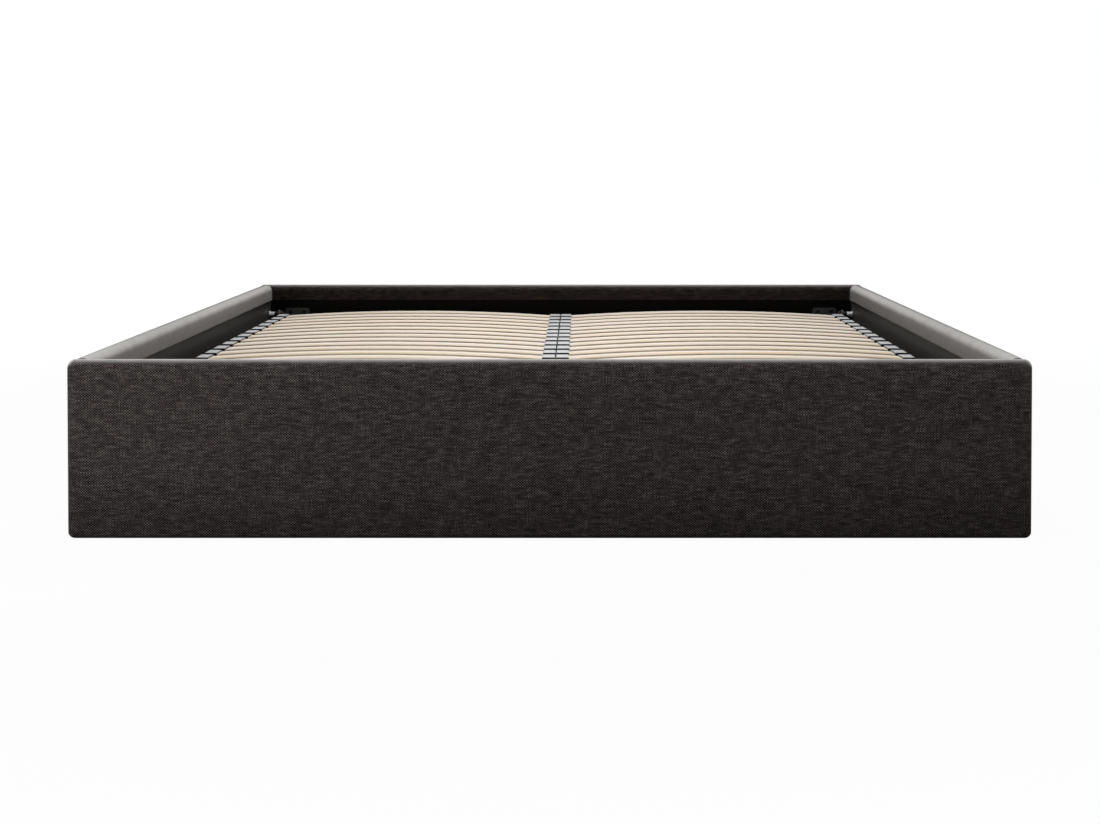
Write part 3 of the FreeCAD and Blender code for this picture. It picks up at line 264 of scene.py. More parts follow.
def swell(cover):
    """Cloth pushed out by the foam behind it for a few moments. It is held where it is drawn round the edges
    and down inside; the flat outside is free. A move becomes reach times tanh of move over reach, so no point
    goes further than the foam's reach."""
    count = len(cover.data.vertices)
    start, end = np.zeros((2, count * 3))
    cover.data.vertices.foreach_get("co", start)
    x, y, z = abs(start.reshape(-1, 3)).T
    on_side = (abs(x - OUTER_X) < TOUCHING) & (y < INNER_Y - BUTT_ROUND)
    on_end = (abs(y - OUTER_Y) < TOUCHING) & (x < OUTER_X - END_ROUND)
    flat = (z > PANEL_FOOT + FOOT_ROUND + TOUCHING) & (z < PANEL_TOP - TOP_ROUND - TOUCHING)
    free = (on_side | on_end) & flat
    held = cover.vertex_groups.new(name="held")
    held.add(np.flatnonzero(~free).tolist(), 1.0, "REPLACE")
    cloth = cover.modifiers.new("foam", "CLOTH")
    cloth.settings.vertex_group_mass = held.name
    cloth.settings.use_pressure = True
    cloth.settings.uniform_pressure_force = FOAM_PUSH
    cloth.settings.effector_weights.gravity = 0.0
    for moment in range(1, FOAM_MOMENTS + 1):
        bpy.context.scene.frame_set(moment)
    cover.evaluated_get(bpy.context.evaluated_depsgraph_get()).data.vertices.foreach_get("co", end)
    moved = (end - start).reshape(-1, 3)
    size = np.linalg.norm(moved, axis=1)[:, None]
    moved *= FOAM_REACH * np.tanh(size / FOAM_REACH) / np.maximum(size, 1e-9)
    cover.data.vertices.foreach_set("co", start + moved.ravel())
    cover.modifiers.remove(cloth)
    cover.vertex_groups.remove(held)
    bpy.context.scene.frame_set(1)


def charcoal_weave():
    """Plain weave of mixed charcoal yarns: threads cross at every pitch and pass over in turn. They stray a
    little, each yarn fades and lightens along its length, and each thread is rounded, with painted shade
    where it dips. The cloth has painted shade near the floor. A painted sheen makes it pale where it is
    seen edge on: in patches, most high up and on faces that look up, weaker low on the hem, and fading
    where it is seen most nearly edge on."""
    material, tree, shader = finish(
        "charcoal_weave", 0.85, Specular_IOR_Level=0.0, Sheen_Weight=0.3, Sheen_Roughness=0.3,
        Sheen_Tint=(0.82, 0.81, 0.80, 1),
    )
    spot = shade(tree, "TexCoord", {}).outputs["UV"]
    stray = shade(tree, "TexNoise", {"Vector": spot, "Scale": STRAYS, "Detail": 1.0}).outputs[1]
    sockets = {0: stray, 1: (YARN_STRAY,) * 3, 2: spot}
    spot = shade(tree, "VectorMath", sockets, operation="MULTIPLY_ADD").outputs[0]
    cloud = noise(tree, spot, CLOUDS, 3.0, 0.6)
    cloth = shade(tree, "SeparateXYZ", {0: spot}).outputs
    warp, weft = sums(tree, "DIVIDE", cloth[0], WARP_PITCH), sums(tree, "DIVIDE", cloth[1], WEFT_PITCH)
    warp_row, weft_row = [sums(tree, "FLOOR", way) for way in (warp, weft)]
    warp_over = sums(tree, "MODULO", sums(tree, "ADD", warp_row, weft_row), 2.0)
    yarns, rounds = [], []
    for row, along, way in ((weft_row, cloth[0], weft), (warp_row, cloth[1], warp)):
        apart = sums(tree, "MULTIPLY", row, YARNS_APART)
        place = shade(tree, "CombineXYZ", {0: apart, 1: along, 2: 0.0}).outputs[0]
        yarns.append(noise(tree, stretched(tree, place, (1, YARN_STREAKS, 1)), 1.0, 3.0, 0.6))
        edge = sums(tree, "SUBTRACT", sums(tree, "MULTIPLY", sums(tree, "FRACT", way), 2.0), 1.0)
        rounds.append(sums(tree, "SUBTRACT", 1.0, sums(tree, "MULTIPLY", edge, edge)))
    bulge = shade(tree, "Mix", {0: warp_over, 2: rounds[0], 3: rounds[1]}).outputs[0]
    weft_yarn, warp_yarn = colours(tree, yarns[0], *WEFT_YARN), colours(tree, yarns[1], *WARP_YARN)
    threads = blend(tree, warp_over, weft_yarn, warp_yarn)
    # Painted shade where the threads dip and near the floor, with random cloudy tone.
    shade_and_tone = sums(tree, "ADD", between(tree, bulge, 0.4, -0.1), between(tree, cloud, 0.3, -0.1))
    level = shade(tree, "SeparateXYZ", {0: shade(tree, "TexCoord", {}).outputs["Object"]}).outputs[2]
    shade_and_tone = sums(tree, "ADD", shade_and_tone, smooth(tree, level, PANEL_FOOT, SHADE_TOP, FOOT_SHADE, 0.0))
    shaded = blend(tree, shade_and_tone, threads, tint(*YARN_SHADE_PAINT))
    # Painted sheen: how pale the cloth turns edge on, in patches, more on faces that look up, less low on the
    # hem and less where it is seen most nearly edge on.
    upward = shade(tree, "SeparateXYZ", {0: shade(tree, "TexCoord", {}).outputs["Normal"]}).outputs[2]
    facing = shade(tree, "LayerWeight", {}).outputs["Facing"]
    dust_and_sheen = smooth(tree, upward, 0.0, 0.75, 0.45, 1.0)
    dust_and_sheen = sums(tree, "MULTIPLY", dust_and_sheen, between(tree, cloud, 0.75, 1.25))
    dust_and_sheen = sums(tree, "MULTIPLY", dust_and_sheen, smooth(tree, level, HEM_EDGE, PANEL_TOP, 0.6, 1.0))
    fade = between(tree, upward, 0.8, 0.87), between(tree, upward, 0.89, 1.0)
    dust_and_sheen = sums(tree, "MULTIPLY", dust_and_sheen, smooth(tree, facing, *fade, 1.0, 0.12))
    on_wall, on_top = smooth(tree, upward, 0.2, 0.5, 0.5, 0.1), smooth(tree, upward, 0.85, 1.0, 0.0, 0.3)
    begins = sums(tree, "ADD", on_wall, on_top)
    tree.links.new(painted_sheen(tree, shaded, begins, 0.87, CLOTH_SHEEN_PAINT, dust_and_sheen), shader.inputs["Base Color"])
    raise_by(tree, shader, bulge, 0.0003, 0.7)
    return material


charcoal_fabric = charcoal_weave()
bolt_lines = [side * HEADBOARD_BOLT_X + cut for side in (-1, 1) for cut in (-BOLT_CUT, BOLT_CUT)]
covers = {}
for name, end in (("head", 1), ("foot", -1)):
    length, depth, height, uv = panel_cover(OUTER_X, END_ROUND, [-BOARD_FACE_X, BOARD_FACE_X, *bolt_lines])
    points = np.stack([length, end * (OUTER_Y - depth), height], -1)
    middle = (points[:-1, :-1] + points[1:, 1:]) / 2
    within = PANEL_THICKNESS - (OUTER_Y - abs(middle[..., 1])) < WINDOW_DEPTH
    window = within & (abs(middle[..., 0]) < BOARD_FACE_X) & (middle[..., 2] < HEM_EDGE)
    if name == "head":
        beside = abs(abs(middle[..., 0]) - HEADBOARD_BOLT_X) < BOLT_CUT
        window |= beside & (abs(middle[..., 2] - HEADBOARD_BOLT_Z) < BOLT_CUT) & ~within
    covers[name] = surface(f"{name}_padded_cover", points, uv, ~window)
for name, side in (("right", 1), ("left", -1)):
    length, depth, height, uv = panel_cover(INNER_Y, BUTT_ROUND, [])
    points = np.stack([side * (OUTER_X - depth), length, height], -1)
    middle = (points[:-1, :-1] + points[1:, 1:]) / 2
    within = PANEL_THICKNESS - (OUTER_X - abs(middle[..., 0])) < WINDOW_DEPTH
    window = within & (middle[..., 2] < HEM_EDGE)
    covers[name] = surface(f"{name}_padded_cover", points, uv, ~window)
for name, cover in covers.items():
    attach(cover, "box")
    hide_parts(f"{name}_cover")
    cover.data.materials.append(charcoal_fabric)
for cover in covers.values():
    swell(cover)
    wall = cover.modifiers.new("fabric", "SOLIDIFY")
    wall.thickness, wall.offset = FABRIC_THICKNESS, -1.0
    hem = cover.modifiers.new("hem", "BEVEL")
    hem.width, hem.segments, hem.angle_limit = HEM_ROUND, 2, math.radians(60)

# Headboard eyelets: pressed steel rings in the back of the head cover, round each headboard bolt hole. A
# rolled flange lies on the fabric and a short barrel goes in through it.
EYELET_PROUD = 0.0018
EYELET_OUTLINE = np.array([
    (9.3, -0.6), (9.2, 0.5), (8.4, 1.3), (6.6, 1.6), (5.4, 1.2), (4.8, 0.3), (4.5, -1.5), (4.5, -15.0),
    (5.0, -15.0), (5.1, -0.6), (9.3, -0.6),
]) / 1000


def spun(name, outline, centres, axes, sides=32):
    """Turned pieces: an outline of (radius, height) goes round an axis at each centre. A third column of the
    outline is how far the round gives way to a hexagon there, whose radius is cos 30 over cos of the angle
    from the middle of a flat."""
    centres, axes = np.array(centres, float), np.array(axes, float)
    aside = np.where(abs(axes[:, 2:]) > 0.9, (1.0, 0.0, 0.0), (0.0, 0.0, 1.0))
    first = np.cross(aside, axes)
    second = np.cross(axes, first)
    angle = np.linspace(0, 2 * np.pi, sides + 1)
    cosine, sine = np.cos(angle)[:, None, None], np.sin(angle)[:, None, None]
    ring = cosine * first[:, None, None] + sine * second[:, None, None]
    six = outline[:, 2] if outline.shape[1] > 2 else 0 * outline[:, 0]
    hexagon = math.cos(np.pi / 6) / np.cos((angle + np.pi / 6) % (np.pi / 3) - np.pi / 6)
    radius = outline[:, 0] * (1 - six + six * hexagon[:, None])
    outward, along = radius[None, ..., None] * ring, outline[:, 1, None] * axes[:, None, None]
    return surface(name, centres[:, None, None] + outward + along)


def zinc_plate(name, dull, bright):
    """Zinc plate on steel: cloudy from the bath, with fine scratches in its gloss."""
    material, tree, shader = finish(name, 0.35, Metallic=1.0)
    place = object_place(tree)
    cloud = noise(tree, place, 130.0, 4.0, 0.65)
    tree.links.new(colours(tree, cloud, (0.3, dull), (0.7, bright)), shader.inputs["Base Color"])
    tree.links.new(between(tree, noise(tree, place, 420.0), 0.22, 0.46), shader.inputs["Roughness"])
    raise_by(tree, shader, noise(tree, place, 900.0), 0.00005, 0.5)
    return material


zinc = zinc_plate("bright_zinc", (158, 161, 166), (205, 207, 209))
black_zinc = zinc_plate("black_zinc", (18, 18, 19), (38, 38, 40))
eyelet_spots = [(side * HEADBOARD_BOLT_X, OUTER_Y + EYELET_PROUD, HEADBOARD_BOLT_Z) for side in (-1, 1)]
eyelets = spun("headboard_eyelets", EYELET_OUTLINE, eyelet_spots, [(0, 1, 0)] * 2)
eyelets.data.materials.append(zinc)
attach(eyelets, "box")

# Glides: black plastic buttons under the floor ledges and the floor beam. Each has a rounded foot and a
# hollow for the nail that holds it.
GLIDE_OUTLINE = np.array([
    (0, 5.0), (9.4, 5.0), (10.0, 4.4), (10.0, 1.7), (9.5, 0.6), (8.5, 0.05), (8.0, 0), (4.4, 0), (3.8, 0.5),
    (3.6, 1.6), (3.0, 1.9), (0, 2.1),
]) / 1000
GLIDE_X, GLIDE_END_Y, GLIDE_SIDE_X = 0.780, 0.996, 0.796
GLIDE_SIDE_Y, GLIDE_BEAM_Y = 0.33417, 0.32867


def moulded_black(name, roughness, grain):
    """Moulded black plastic: a fine spark-eroded grain, slightly uneven gloss and a painted sheen edge on."""
    material, tree, shader = finish(name, roughness, Specular_IOR_Level=0.1)
    place = object_place(tree)
    mottle = noise(tree, place, 60.0, 3.0)
    black = colours(tree, mottle, (0.35, (10, 10, 11)), (0.7, (18, 18, 19)))
    # Painted sheen: the plastic turns light grey where it is seen edge on.
    tree.links.new(painted_sheen(tree, black, 0.82, 0.89, (188, 189, 190)), shader.inputs["Base Color"])
    gloss = between(tree, noise(tree, place, 240.0), roughness - 0.07, roughness + 0.09)
    tree.links.new(gloss, shader.inputs["Roughness"])
    raise_by(tree, shader, noise(tree, place, 1500.0), 0.00004, grain)
    return material


holder_plastic = moulded_black("holder_plastic", 0.34, 0.35)
glide_spots = [(x * GLIDE_X, y * GLIDE_END_Y, 0) for x in (-1, -1 / 3, 1 / 3, 1) for y in (-1, 1)]
glide_spots += [(x * GLIDE_SIDE_X, y * GLIDE_SIDE_Y, 0) for x in (-1, 1) for y in (-1, 1)]
glide_spots += [(0, -GLIDE_BEAM_Y, 0), (0, GLIDE_BEAM_Y, 0)]
glides = spun("nailed_glides", GLIDE_OUTLINE, glide_spots, [(0, 0, 1)] * len(glide_spots), 40)
glides.data.materials.append(holder_plastic)
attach(glides, "box")
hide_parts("glides")

# Storage floor: planed pine battens screwed round the foot of the boards, a beam and cross battens between
# them, and four panels of brown hardboard laid on top. The closed platform's rest ledge is the same pine.
PINE_RINGS = (0.0, (222, 190, 142)), (0.6, (213, 176, 124)), (0.9, (182, 135, 82)), (1.0, (216, 182, 132))
PINE_FIBRE = (158, 116, 70)
PRESSED_FIBRE = (0.30, (96, 68, 45)), (0.52, (140, 104, 72)), (0.72, (182, 146, 108))


def planed_pine(name, stretch):
    """Pine: pale wood with darker growth lines that run along the batten, and fine brown fibres."""
    material, tree, shader = finish(name, 0.6, Specular_IOR_Level=0.35)
    place = object_place(tree, stretch)
    drift = noise(tree, place, 0.35, 3.0)
    rings = sums(tree, "FRACT", sums(tree, "MULTIPLY", drift, 9.0))
    fibre = noise(tree, place, 3.5, 4.0, 0.7)
    wood = blend(tree, between(tree, fibre, 0.0, 0.35), colours(tree, rings, *PINE_RINGS), tint(*PINE_FIBRE))
    tree.links.new(wood, shader.inputs["Base Color"])
    raise_by(tree, shader, fibre, 0.0003, 0.5)
    return material


def brown_hardboard():
    """Hardboard: pressed brown fibres, with lighter and darker flecks, smooth from the press."""
    material, tree, shader = finish("brown_hardboard", 0.55, Specular_IOR_Level=0.4)
    place = object_place(tree)
    fleck = noise(tree, place, 320.0, 5.0, 0.75)
    cloud = noise(tree, place, 7.0, 3.0)
    level = sums(tree, "ADD", sums(tree, "MULTIPLY", fleck, 0.85), sums(tree, "MULTIPLY", cloud, 0.15))
    tree.links.new(colours(tree, level, *PRESSED_FIBRE), shader.inputs["Base Color"])
    raise_by(tree, shader, fleck, 0.0002, 0.4)
    return material


pine_across = planed_pine("pine_across", (2.5, 60, 60))
pine_along = planed_pine("pine_along", (60, 2.5, 60))
dress(pine_across, "pine_batten", "head_floor_ledge", "foot_floor_ledge", "floor_cross_battens")
dress(pine_across, "pine_batten", "platform_rest")
dress(pine_along, "pine_batten", "left_floor_ledge", "right_floor_ledge", "floor_beam")
floor_panels = [f"{end}_{side}_floor_panel" for end in ("head", "foot") for side in ("left", "right")]
dress(brown_hardboard(), "hardboard", *floor_panels)

# Corner irons: zinc-plated steel angles in the four inner corners, each held by four button-head bolts that
# are turned with a hexagon key. They draw the side boards against the head and foot boards.
BOLT_OUTLINE = np.array([
    (0, -15, 0), (3.3, -15, 0), (4, -14.2, 0), (4, 0, 0), (7.5, 0, 0), (7.5, 0.9, 0), (7.1, 2.3, 0),
    (6.1, 3.4, 0), (4.7, 3.9, 0), (3.4, 4.0, 0.6), (3.0, 3.7, 1), (2.9, 1.2, 1), (0, 0.9, 0),
]) / (1000, 1000, 1)
CORNER_SEAT_X, CORNER_SEAT_Y, CORNER_HOLE_X, CORNER_HOLE_Y = 0.803, 1.003, 0.7875, 0.9875
CORNER_BOLT_HEIGHTS = (0.079, 0.149)

corners = [(side, end, height) for side in (-1, 1) for end in (-1, 1) for height in CORNER_BOLT_HEIGHTS]
bolt_spots = [(side * CORNER_SEAT_X, end * CORNER_HOLE_Y, height) for side, end, height in corners]
bolt_spots += [(side * CORNER_HOLE_X, end * CORNER_SEAT_Y, height) for side, end, height in corners]
bolt_axes = [(-side, 0, 0) for side, _, _ in corners] + [(0, -end, 0) for _, end, _ in corners]
corner_bolts = spun("corner_button_bolts", BOLT_OUTLINE, bolt_spots, bolt_axes, 24)
corner_bolts.data.materials.append(zinc)
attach(corner_bolts, "box")
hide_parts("corner_bolts")
dress(zinc, "zinc", "corner_brackets")

# Headboard fixing plates: black steel plates inside the head board that spread the load of the headboard
# bolts, each held by four black pan-head screws.
SCREW_OUTLINE = np.array([
    (0, -17, 0), (1.2, -15.5, 0), (2.5, -12, 0), (2.5, 0, 0), (5, 0, 0), (5, 0.7, 0), (4.6, 1.7, 0),
    (3.6, 2.3, 0), (2.5, 2.5, 0.5), (2.1, 2.3, 1), (2.0, 0.9, 1), (0, 0.7, 0),
]) / (1000, 1000, 1)
FIXING_SCREW_SPREAD, FIXING_PLATE_FACE, FIXING_SCREW_HEIGHTS = 0.019, 1.002, (0.183, 0.243)


def powder_coat():
    """Black powder coat on steel: satin, with the faint orange peel of baked powder."""
    material, tree, shader = finish("powder_coat", 0.42, Specular_IOR_Level=0.5)
    place = object_place(tree)
    mottle = noise(tree, place, 45.0, 4.0)
    black = colours(tree, mottle, (0.3, (15, 15, 16)), (0.72, (27, 27, 28)))
    tree.links.new(black, shader.inputs["Base Color"])
    tree.links.new(between(tree, mottle, 0.34, 0.50), shader.inputs["Roughness"])
    raise_by(tree, shader, noise(tree, place, 650.0), 0.00008, 0.4)
    return material


black_coat = powder_coat()
dress(black_coat, "black_steel", "left_fixing_plate", "right_fixing_plate")
fixing_spots = [
    (side * HEADBOARD_BOLT_X + apart * FIXING_SCREW_SPREAD, FIXING_PLATE_FACE, height)
    for side in (-1, 1) for apart in (-1, 1) for height in FIXING_SCREW_HEIGHTS
]
fixing_axes = [(0, -1, 0)] * len(fixing_spots)
fixing_screws = spun("fixing_plate_pan_screws", SCREW_OUTLINE, fixing_spots, fixing_axes, 24)
fixing_screws.data.materials.append(black_zinc)
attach(fixing_screws, "box")
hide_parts("fixing_plate_screws")

# Platform frame: steel tube, welded and powder coated black, with plastic plugs in the open ends. The weld
# beads run down both sides of each joint and across below it; the top is left flat for the slat holders.
BEAD_RADIUS, BEAD_RIPPLE, BEAD_SWELL, BEAD_CORNER, BEAD_TAPER = 0.0021, 0.0024, 0.12, 0.004, 0.002
END_TUBE_WIDTH, CENTRE_TUBE_WIDTH = 0.030, 0.060
TUBE_FOOT, TUBE_TOP, CROSS_TUBE_TOP = 0.181, 0.221, 0.211
SIDE_TUBE_X, END_TUBE_Y, PLATFORM_Y, CENTRE_TUBE_X = 0.744, 0.9475, 0.9775, 0.030
CROSS_TUBE_Y, CROSS_TUBE_HALF = 0.32583, 0.010


def weld_beads(name, joints):
    """Beads round the ends of tubes: each follows a U of width and height with quarter-circle corners, as a
    round section whose radius goes up and down by a sine along each ripple and tapers off at both ends. A
    joint is (middle, way across, width, height)."""
    beads = []
    for middle, across, width, height in joints:
        turn = np.linspace(0, np.pi / 2, 5)
        corner = np.stack([BEAD_CORNER * (1 - np.cos(turn)), BEAD_CORNER * (1 - np.sin(turn))], -1)
        left = np.concatenate([[(0, height)], corner]) - (width / 2, 0)
        bends = np.concatenate([left, left[::-1] * (-1, 1)])
        reach = np.append(0, np.cumsum(np.hypot(*np.diff(bends, axis=0).T)))
        on = np.linspace(0, reach[-1], 97)
        run = np.stack([np.interp(on, reach, bends[:, 0]), np.interp(on, reach, bends[:, 1])], -1)
        way = np.gradient(run, axis=0)
        out = np.stack([way[:, 1], -way[:, 0]], -1) / np.linalg.norm(way, axis=1)[:, None]
        angle = np.linspace(0, 2 * np.pi, 9)
        ripple = 1 + BEAD_SWELL * np.sin(2 * np.pi * on / BEAD_RIPPLE)
        size = BEAD_RADIUS * ripple * np.clip(np.minimum(on, reach[-1] - on) / BEAD_TAPER, 0.02, 1)
        flat = run[:, None] + size[:, None, None] * np.cos(angle)[:, None] * out[:, None]
        along = np.array(across, float)
        normal = np.cross(along, (0, 0, 1))
        beads.append(
            np.array(middle) + flat[..., :1] * along + flat[..., 1:] * (0, 0, 1)
            + (size[:, None] * np.sin(angle))[..., None] * normal
        )
    return surface(name, np.stack(beads))


tube_height = TUBE_TOP - TUBE_FOOT
joints = [
    ((x * SIDE_TUBE_X, y * (END_TUBE_Y + PLATFORM_Y) / 2, TUBE_FOOT), (0, 1, 0), END_TUBE_WIDTH, tube_height)
    for x in (-1, 1) for y in (-1, 1)
]
joints += [((0, y * END_TUBE_Y, TUBE_FOOT), (1, 0, 0), CENTRE_TUBE_WIDTH, tube_height) for y in (-1, 1)]
joints += [
    ((x, y * CROSS_TUBE_Y, TUBE_FOOT), (0, 1, 0), 2 * CROSS_TUBE_HALF, CROSS_TUBE_TOP - TUBE_FOOT)
    for x in (-SIDE_TUBE_X, -CENTRE_TUBE_X, CENTRE_TUBE_X, SIDE_TUBE_X) for y in (-1, 1)
]
beads = weld_beads("frame_weld_beads", joints)
beads.data.materials.append(black_coat)
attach(beads, "platform")
dress(black_coat, "black_steel", "left_side_tube", "right_side_tube", "head_tube", "foot_tube", "centre_tube")
dress(black_coat, "black_steel", "left_cross_tubes", "right_cross_tubes")
dress(holder_plastic, "black_plastic", "tube_end_caps")

# Slats: strips of birch veneer glued in a bow, sanded round along both edges. Two banks of nineteen lie side
# by side, each slat sprung between two holders.
SLAT_COUNT, SLAT_WIDTH, SLAT_THICKNESS, SLAT_EDGE = 19, 0.063, 0.008, 0.0024
SLAT_START, SLAT_END, SLAT_FOOT, SLAT_CROWN, FIRST_SLAT_Y = 0.0063, 0.7687, 0.2273, 0.014, 0.9135
# The last of these colours is a painted sheen, the pale the birch turns where it is seen edge on.
VENEERS, BIRCH_FLECK, BIRCH_SHEEN_PAINT = 6, (150, 116, 78), (229, 222, 216)
BIRCH_FIGURE = (0.28, (188, 163, 135)), (0.48, (202, 181, 155)), (0.66, (213, 195, 173))
BIRCH_TONES = (0.0, (211, 179, 154)), (0.35, (207, 188, 156)), (0.7, (202, 187, 162)), (1.0, (211, 195, 178))
GLUED_EDGE = (0.0, (226, 203, 174)), (0.46, (231, 210, 184)), (0.54, (241, 228, 209)), (0.96, (237, 221, 198))


def slat_bank(name, side, chance):
    """A bank of slats: a rounded oblong section is carried along an arc whose rise is the crown. The UV map
    holds the length along the slat and the way round it, and attributes hold its own shade, the height in it
    and how near its side is."""
    turn = np.linspace(0, np.pi / 2, 5)
    quarter = SLAT_EDGE * np.stack([np.cos(turn), np.sin(turn)], -1)
    corner = SLAT_WIDTH / 2 - SLAT_EDGE, SLAT_THICKNESS / 2 - SLAT_EDGE
    spots = np.array([(1, 1), (-1, 1), (-1, -1), (1, -1)]) * corner
    turned = [quarter, quarter[:, ::-1] * (-1, 1), -quarter, quarter[:, ::-1] * (1, -1)]
    section = np.concatenate([spot + arc for spot, arc in zip(spots, turned)])
    section = np.concatenate([section, section[:1]])
    across, up = section.T
    length = SLAT_END - SLAT_START
    radius = length ** 2 / (8 * SLAT_CROWN) + SLAT_CROWN / 2
    along = np.concatenate([[0, 0], np.linspace(0, length, 33), [length, length]])
    fill = np.ones(along.size)
    fill[[0, -1]], fill[[1, -2]] = 0.0, 0.9
    rise = np.sqrt(radius ** 2 - (along - length / 2) ** 2) - radius + SLAT_CROWN
    row = np.linspace(-FIRST_SLAT_Y, FIRST_SLAT_Y, SLAT_COUNT)
    shape = (SLAT_COUNT, along.size, across.size)
    x = np.broadcast_to(side * (SLAT_START + along)[:, None], shape)
    y = np.broadcast_to(row[:, None, None] + fill[:, None] * across, shape)
    z = np.broadcast_to(SLAT_FOOT + SLAT_THICKNESS / 2 + rise[:, None] + fill[:, None] * up, shape)
    reach = np.append(0, np.cumsum(np.hypot(*np.diff(section, axis=0).T)))
    slip = chance.uniform(0, 9, (SLAT_COUNT, 2))
    u = np.broadcast_to(slip[:, :1, None] + along[:, None], shape)
    v = np.broadcast_to(slip[:, 1:, None] + reach, shape)
    bank = surface(name, np.stack([x, y, z], -1), np.stack([u, v], -1))
    place = np.zeros(len(bank.data.vertices) * 3)
    bank.data.vertices.foreach_get("co", place)
    place = place.reshape(-1, 3)
    which = np.rint((place[:, 1] + FIRST_SLAT_Y) / (row[1] - row[0])).astype(int)
    shades = chance.uniform(0, 1, SLAT_COUNT)[which]
    on = abs(place[:, 0]) - SLAT_START
    arc = np.sqrt(radius ** 2 - (on - length / 2) ** 2)
    level = (place[:, 2] - SLAT_FOOT - arc + radius - SLAT_CROWN) / SLAT_THICKNESS
    side_on = abs(place[:, 1] - row[which]) / (SLAT_WIDTH / 2)
    for key, values in (("slat_shade", shades), ("slat_level", level), ("slat_side", side_on)):
        bank.data.attributes.new(key, "FLOAT", "POINT").data.foreach_set("value", values.astype(np.float32))
    return bank


def birch_veneer():
    """Birch: pale cream wood with fine lengthwise grain, brown flecks, a tone of its own for each slat, and
    the glued veneers as brown and cream lines along its edges. A painted sheen pales it where it is seen
    edge on."""
    material, tree, shader = finish("birch_veneer", 0.5, Specular_IOR_Level=0.25)
    place = shade(tree, "TexCoord", {}).outputs["UV"]
    grain = noise(tree, stretched(tree, place, (5, 190, 1)), 1.0, 5.0, 0.65)
    figure = noise(tree, stretched(tree, place, (2.2, 26, 1)), 1.0, 4.0, 0.6)
    fleck = noise(tree, stretched(tree, place, (60, 900, 1)), 1.0, 2.0)
    own = shade(tree, "Attribute", {}, attribute_name="slat_shade").outputs["Fac"]
    level = shade(tree, "Attribute", {}, attribute_name="slat_level").outputs["Fac"]
    side_on = shade(tree, "Attribute", {}, attribute_name="slat_side").outputs["Fac"]
    mix = sums(tree, "ADD", sums(tree, "MULTIPLY", grain, 0.45), sums(tree, "MULTIPLY", figure, 0.55))
    wood = blend(tree, 0.6, colours(tree, mix, *BIRCH_FIGURE), colours(tree, own, *BIRCH_TONES))
    flecked = blend(tree, between(tree, fleck, 0.0, 0.45, 0.66, 0.8), wood, tint(*BIRCH_FLECK))
    layers = colours(tree, sums(tree, "FRACT", sums(tree, "MULTIPLY", level, VENEERS / 2)), *GLUED_EDGE)
    edged = blend(tree, between(tree, side_on, 0.0, 1.0, 0.955, 0.985), flecked, layers)
    # Painted sheen on the slats where they are seen edge on.
    tree.links.new(painted_sheen(tree, edged, 0.87, 0.95, BIRCH_SHEEN_PAINT, 0.7), shader.inputs["Base Color"])
    tree.links.new(between(tree, grain, 0.42, 0.58), shader.inputs["Roughness"])
    raise_by(tree, shader, grain, 0.0002, 0.35)
    return material


birch = birch_veneer()
chance = np.random.RandomState(19)
for name, side in (("right", 1), ("left", -1)):
    bank = slat_bank(f"{name}_bowed_slats", side, chance)
    bank.data.materials.append(birch)
    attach(bank, "platform")
    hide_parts(f"{name}_slats")

# Slat holders: black plastic caps, pegged into the tubes, that grip the slat ends. The inner ones stand in
# pairs on the centre tube.
holder_rows = [f"{side}_{row}_holders" for side in ("left", "right") for row in ("outer", "inner")]
dress(holder_plastic, "black_plastic", *holder_rows)

# Rest pads: buttons of black moulded rubber, stuck on the rest ledge. The closed platform's foot tube comes
# down on them.


def soft_rubber():
    """Black rubber: matt, with a dusty bloom."""
    material, tree, shader = finish("soft_rubber", 0.8, Specular_IOR_Level=0.3)
    dust_and_sheen = noise(tree, object_place(tree), 180.0, 4.0)
    dusty = colours(tree, dust_and_sheen, (0.3, (18, 18, 18)), (0.75, (44, 43, 42)))
    tree.links.new(dusty, shader.inputs["Base Color"])
    raise_by(tree, shader, dust_and_sheen, 0.0001, 0.5)
    return material


rubber = soft_rubber()
dress(rubber, "rubber", "rest_pads")

# Lift hinge: black steel arms on the platform turn on pins in black plates, which are screwed to the side
# boards. A lock nut holds each arm on its pin, and studs carry the struts.
PIN_BRIGHT_FROM, PIN_EDGE_WANDER = 0.7895, 0.002
PIN_PLATE = (0.3, (166, 168, 172)), (0.7, (210, 211, 213))
PIN_DARK = (0.3, (22, 21, 20)), (0.7, (44, 42, 40))
LIFT_PLATE_FACE, LIFT_SCREW_SHARES = 0.803, (0.2, 0.5, 0.8)
STRUT_BASE_Y, STRUT_BASE_Z, PIVOT_BEHIND, PIVOT_ABOVE = 0.924, 0.058, 0.036, 0.180


def pivot_steel():
    """Pivot pin: bright zinc next to the plate and dark where the arm turns, with a wandering edge between.
    """
    material, tree, shader = finish("pivot_steel", 0.35, Metallic=1.0)
    place = object_place(tree)
    across = sums(tree, "ABSOLUTE", shade(tree, "SeparateXYZ", {0: place}).outputs[0])
    wander = sums(tree, "SUBTRACT", noise(tree, place, 400.0, 3.0), 0.5)
    wander = sums(tree, "MULTIPLY", wander, PIN_EDGE_WANDER)
    bright = sums(tree, "GREATER_THAN", sums(tree, "ADD", across, wander), PIN_BRIGHT_FROM)
    cloud = noise(tree, place, 130.0, 4.0, 0.65)
    two_tone = blend(tree, bright, colours(tree, cloud, *PIN_DARK), colours(tree, cloud, *PIN_PLATE))
    tree.links.new(two_tone, shader.inputs["Base Color"])
    tree.links.new(between(tree, cloud, 0.25, 0.45), shader.inputs["Roughness"])
    return material


